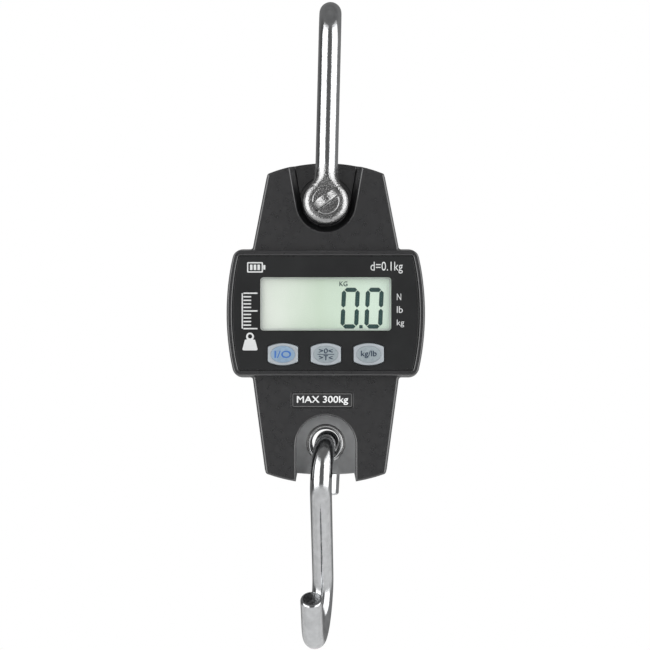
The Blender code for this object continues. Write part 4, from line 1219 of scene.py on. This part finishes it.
def studio():
    """Soft studio light: two tall pale strips in front, darker above, bright below, a white backdrop."""
    world = bpy.data.worlds.new("studio")
    world.use_nodes = True
    bpy.context.scene.world = world
    graph = Graph(world.node_tree)
    graph.tree.nodes.clear()
    math, ramp, node = graph.math, graph.ramp, graph.node
    way = node("ShaderNodeSeparateXYZ", {0: node("ShaderNodeTexCoord").outputs["Generated"]})
    x, y, z = way.outputs
    azimuth = math("DIVIDE", math("ARCTAN2", x, math("MULTIPLY", y, -1.0)), 2 * pi)
    around = math("ADD", azimuth, 0.5)
    height = math("ADD", math("DIVIDE", math("ARCSINE", z), pi), 0.5)
    brightest = 2.4
    strips = [(-180, 0.20), (-130, 0.20), (-100, 0.10), (-84, 0.08), (-74, 2.4), (-26, 2.4), (-17, 0.15)]
    strips += [(22, 0.15), (31, 2.4), (80, 2.4), (92, 0.28), (135, 0.25), (155, 0.20), (180, 0.20)]
    bands = ramp(around, [(turn / 360 + 0.5, level / brightest) for turn, level in strips])
    reach = ((-34, 0), (-20, 1), (30, 1), (46, 0))
    share = ramp(height, [(0.5 + turn / 180, level) for turn, level in reach])
    ends = [(-90, 0.70), (-46, 0.60), (-36, 0.9), (-24, 0.9), (-10, 0.4), (10, 0.3), (30, 0.22), (60, 0.18)]
    ends += [(90, 0.22)]
    level = ramp(height, [(0.5 + turn / 180, grey / brightest) for turn, grey in ends])
    mix = node("ShaderNodeMix", {"Factor": share, "A": level, "B": bands}, data_type="RGBA")
    room = node("ShaderNodeBackground", {"Color": mix.outputs["Result"], "Strength": brightest})
    backdrop = node("ShaderNodeBackground", {"Color": (1.0, 1.0, 1.0, 1.0)})
    straight = node("ShaderNodeLightPath").outputs["Is Camera Ray"]
    seen = node("ShaderNodeMixShader", {0: straight, 1: room.outputs[0], 2: backdrop.outputs[0]})
    node("ShaderNodeOutputWorld", {"Surface": seen.outputs[0]})


def softbox(name, at, size, power, aim):
    light = bpy.data.lights.new(name, "AREA")
    light.shape = "RECTANGLE"
    light.size, light.size_y = (side * MM for side in size)
    light.energy = power
    lamp = bpy.data.objects.new(name, light)
    bpy.context.scene.collection.objects.link(lamp)
    lamp.location = (PIN + Vector(at)) * MM
    lamp.rotation_euler = (Vector(aim) - Vector(at)).to_track_quat("-Z", "Y").to_euler()
    return lamp


def paper(half):
    """Pale paper that fades into the white backdrop towards its edges."""
    made = Finish("floor_paper", 0.8)
    made.feed("Alpha", made.spread(made.away((1.0, 1.0, 0.0)), 0.0, 1.0, 0.95 * half * MM, 0.2 * half * MM))
    tone = made.ramp(made.noise(40.0), [(0.3, 0.88), (0.7, 0.92)])
    return made.colour(tone).bump(made.noise(2.0), 0.01).material


def floor():
    """A plain pale floor below the hanging scale."""
    z = cad_box[0].z / MM - FLOOR_DROP
    half = FLOOR_SIZE / 2
    square = ((-half, -half), (half, -half), (half, half), (-half, half))
    plate = solid("floor", [[(x, y, z - drop) for x, y in square] for drop in (10.0, 0.0)])
    plate.data.materials.append(paper(half))


def camera():
    data = bpy.data.cameras.new("camera")
    data.lens = LENS
    data.sensor_width = 36.0
    data.clip_start = 0.01
    view = bpy.data.objects.new("camera", data)
    bpy.context.scene.collection.objects.link(view)
    view.location = (PIN + Vector(CAMERA_AT)) * MM
    view.rotation_euler = (radians(90), 0, 0)
    bpy.context.scene.camera = view


def main():
    for make in (
        shackle, pin, load_plate, hole_ring, hook, casing_front, casing_back, battery_door, door_screw,
        face_panel, lens, window_edge_highlight, lcd, digits, panel_print, key_print, capacity_label,
    ):
        make()
    for name in KEY_NAMES:
        key(name)
    lettering("lcd_unit", "KG", (3.5, 2.1), 7.8, -36.4, INNER_Y - GAP, DIGIT, "casing", bold=0.14)
    cad_finishes()
    studio()
    overhead = softbox("overhead", (300, 0, 900), (2400, 2400), 19.0, (300, 0, 0))
    overhead.visible_glossy = False
    floor()
    camera()
    bpy.context.scene.view_settings.view_transform = "Standard"


main()
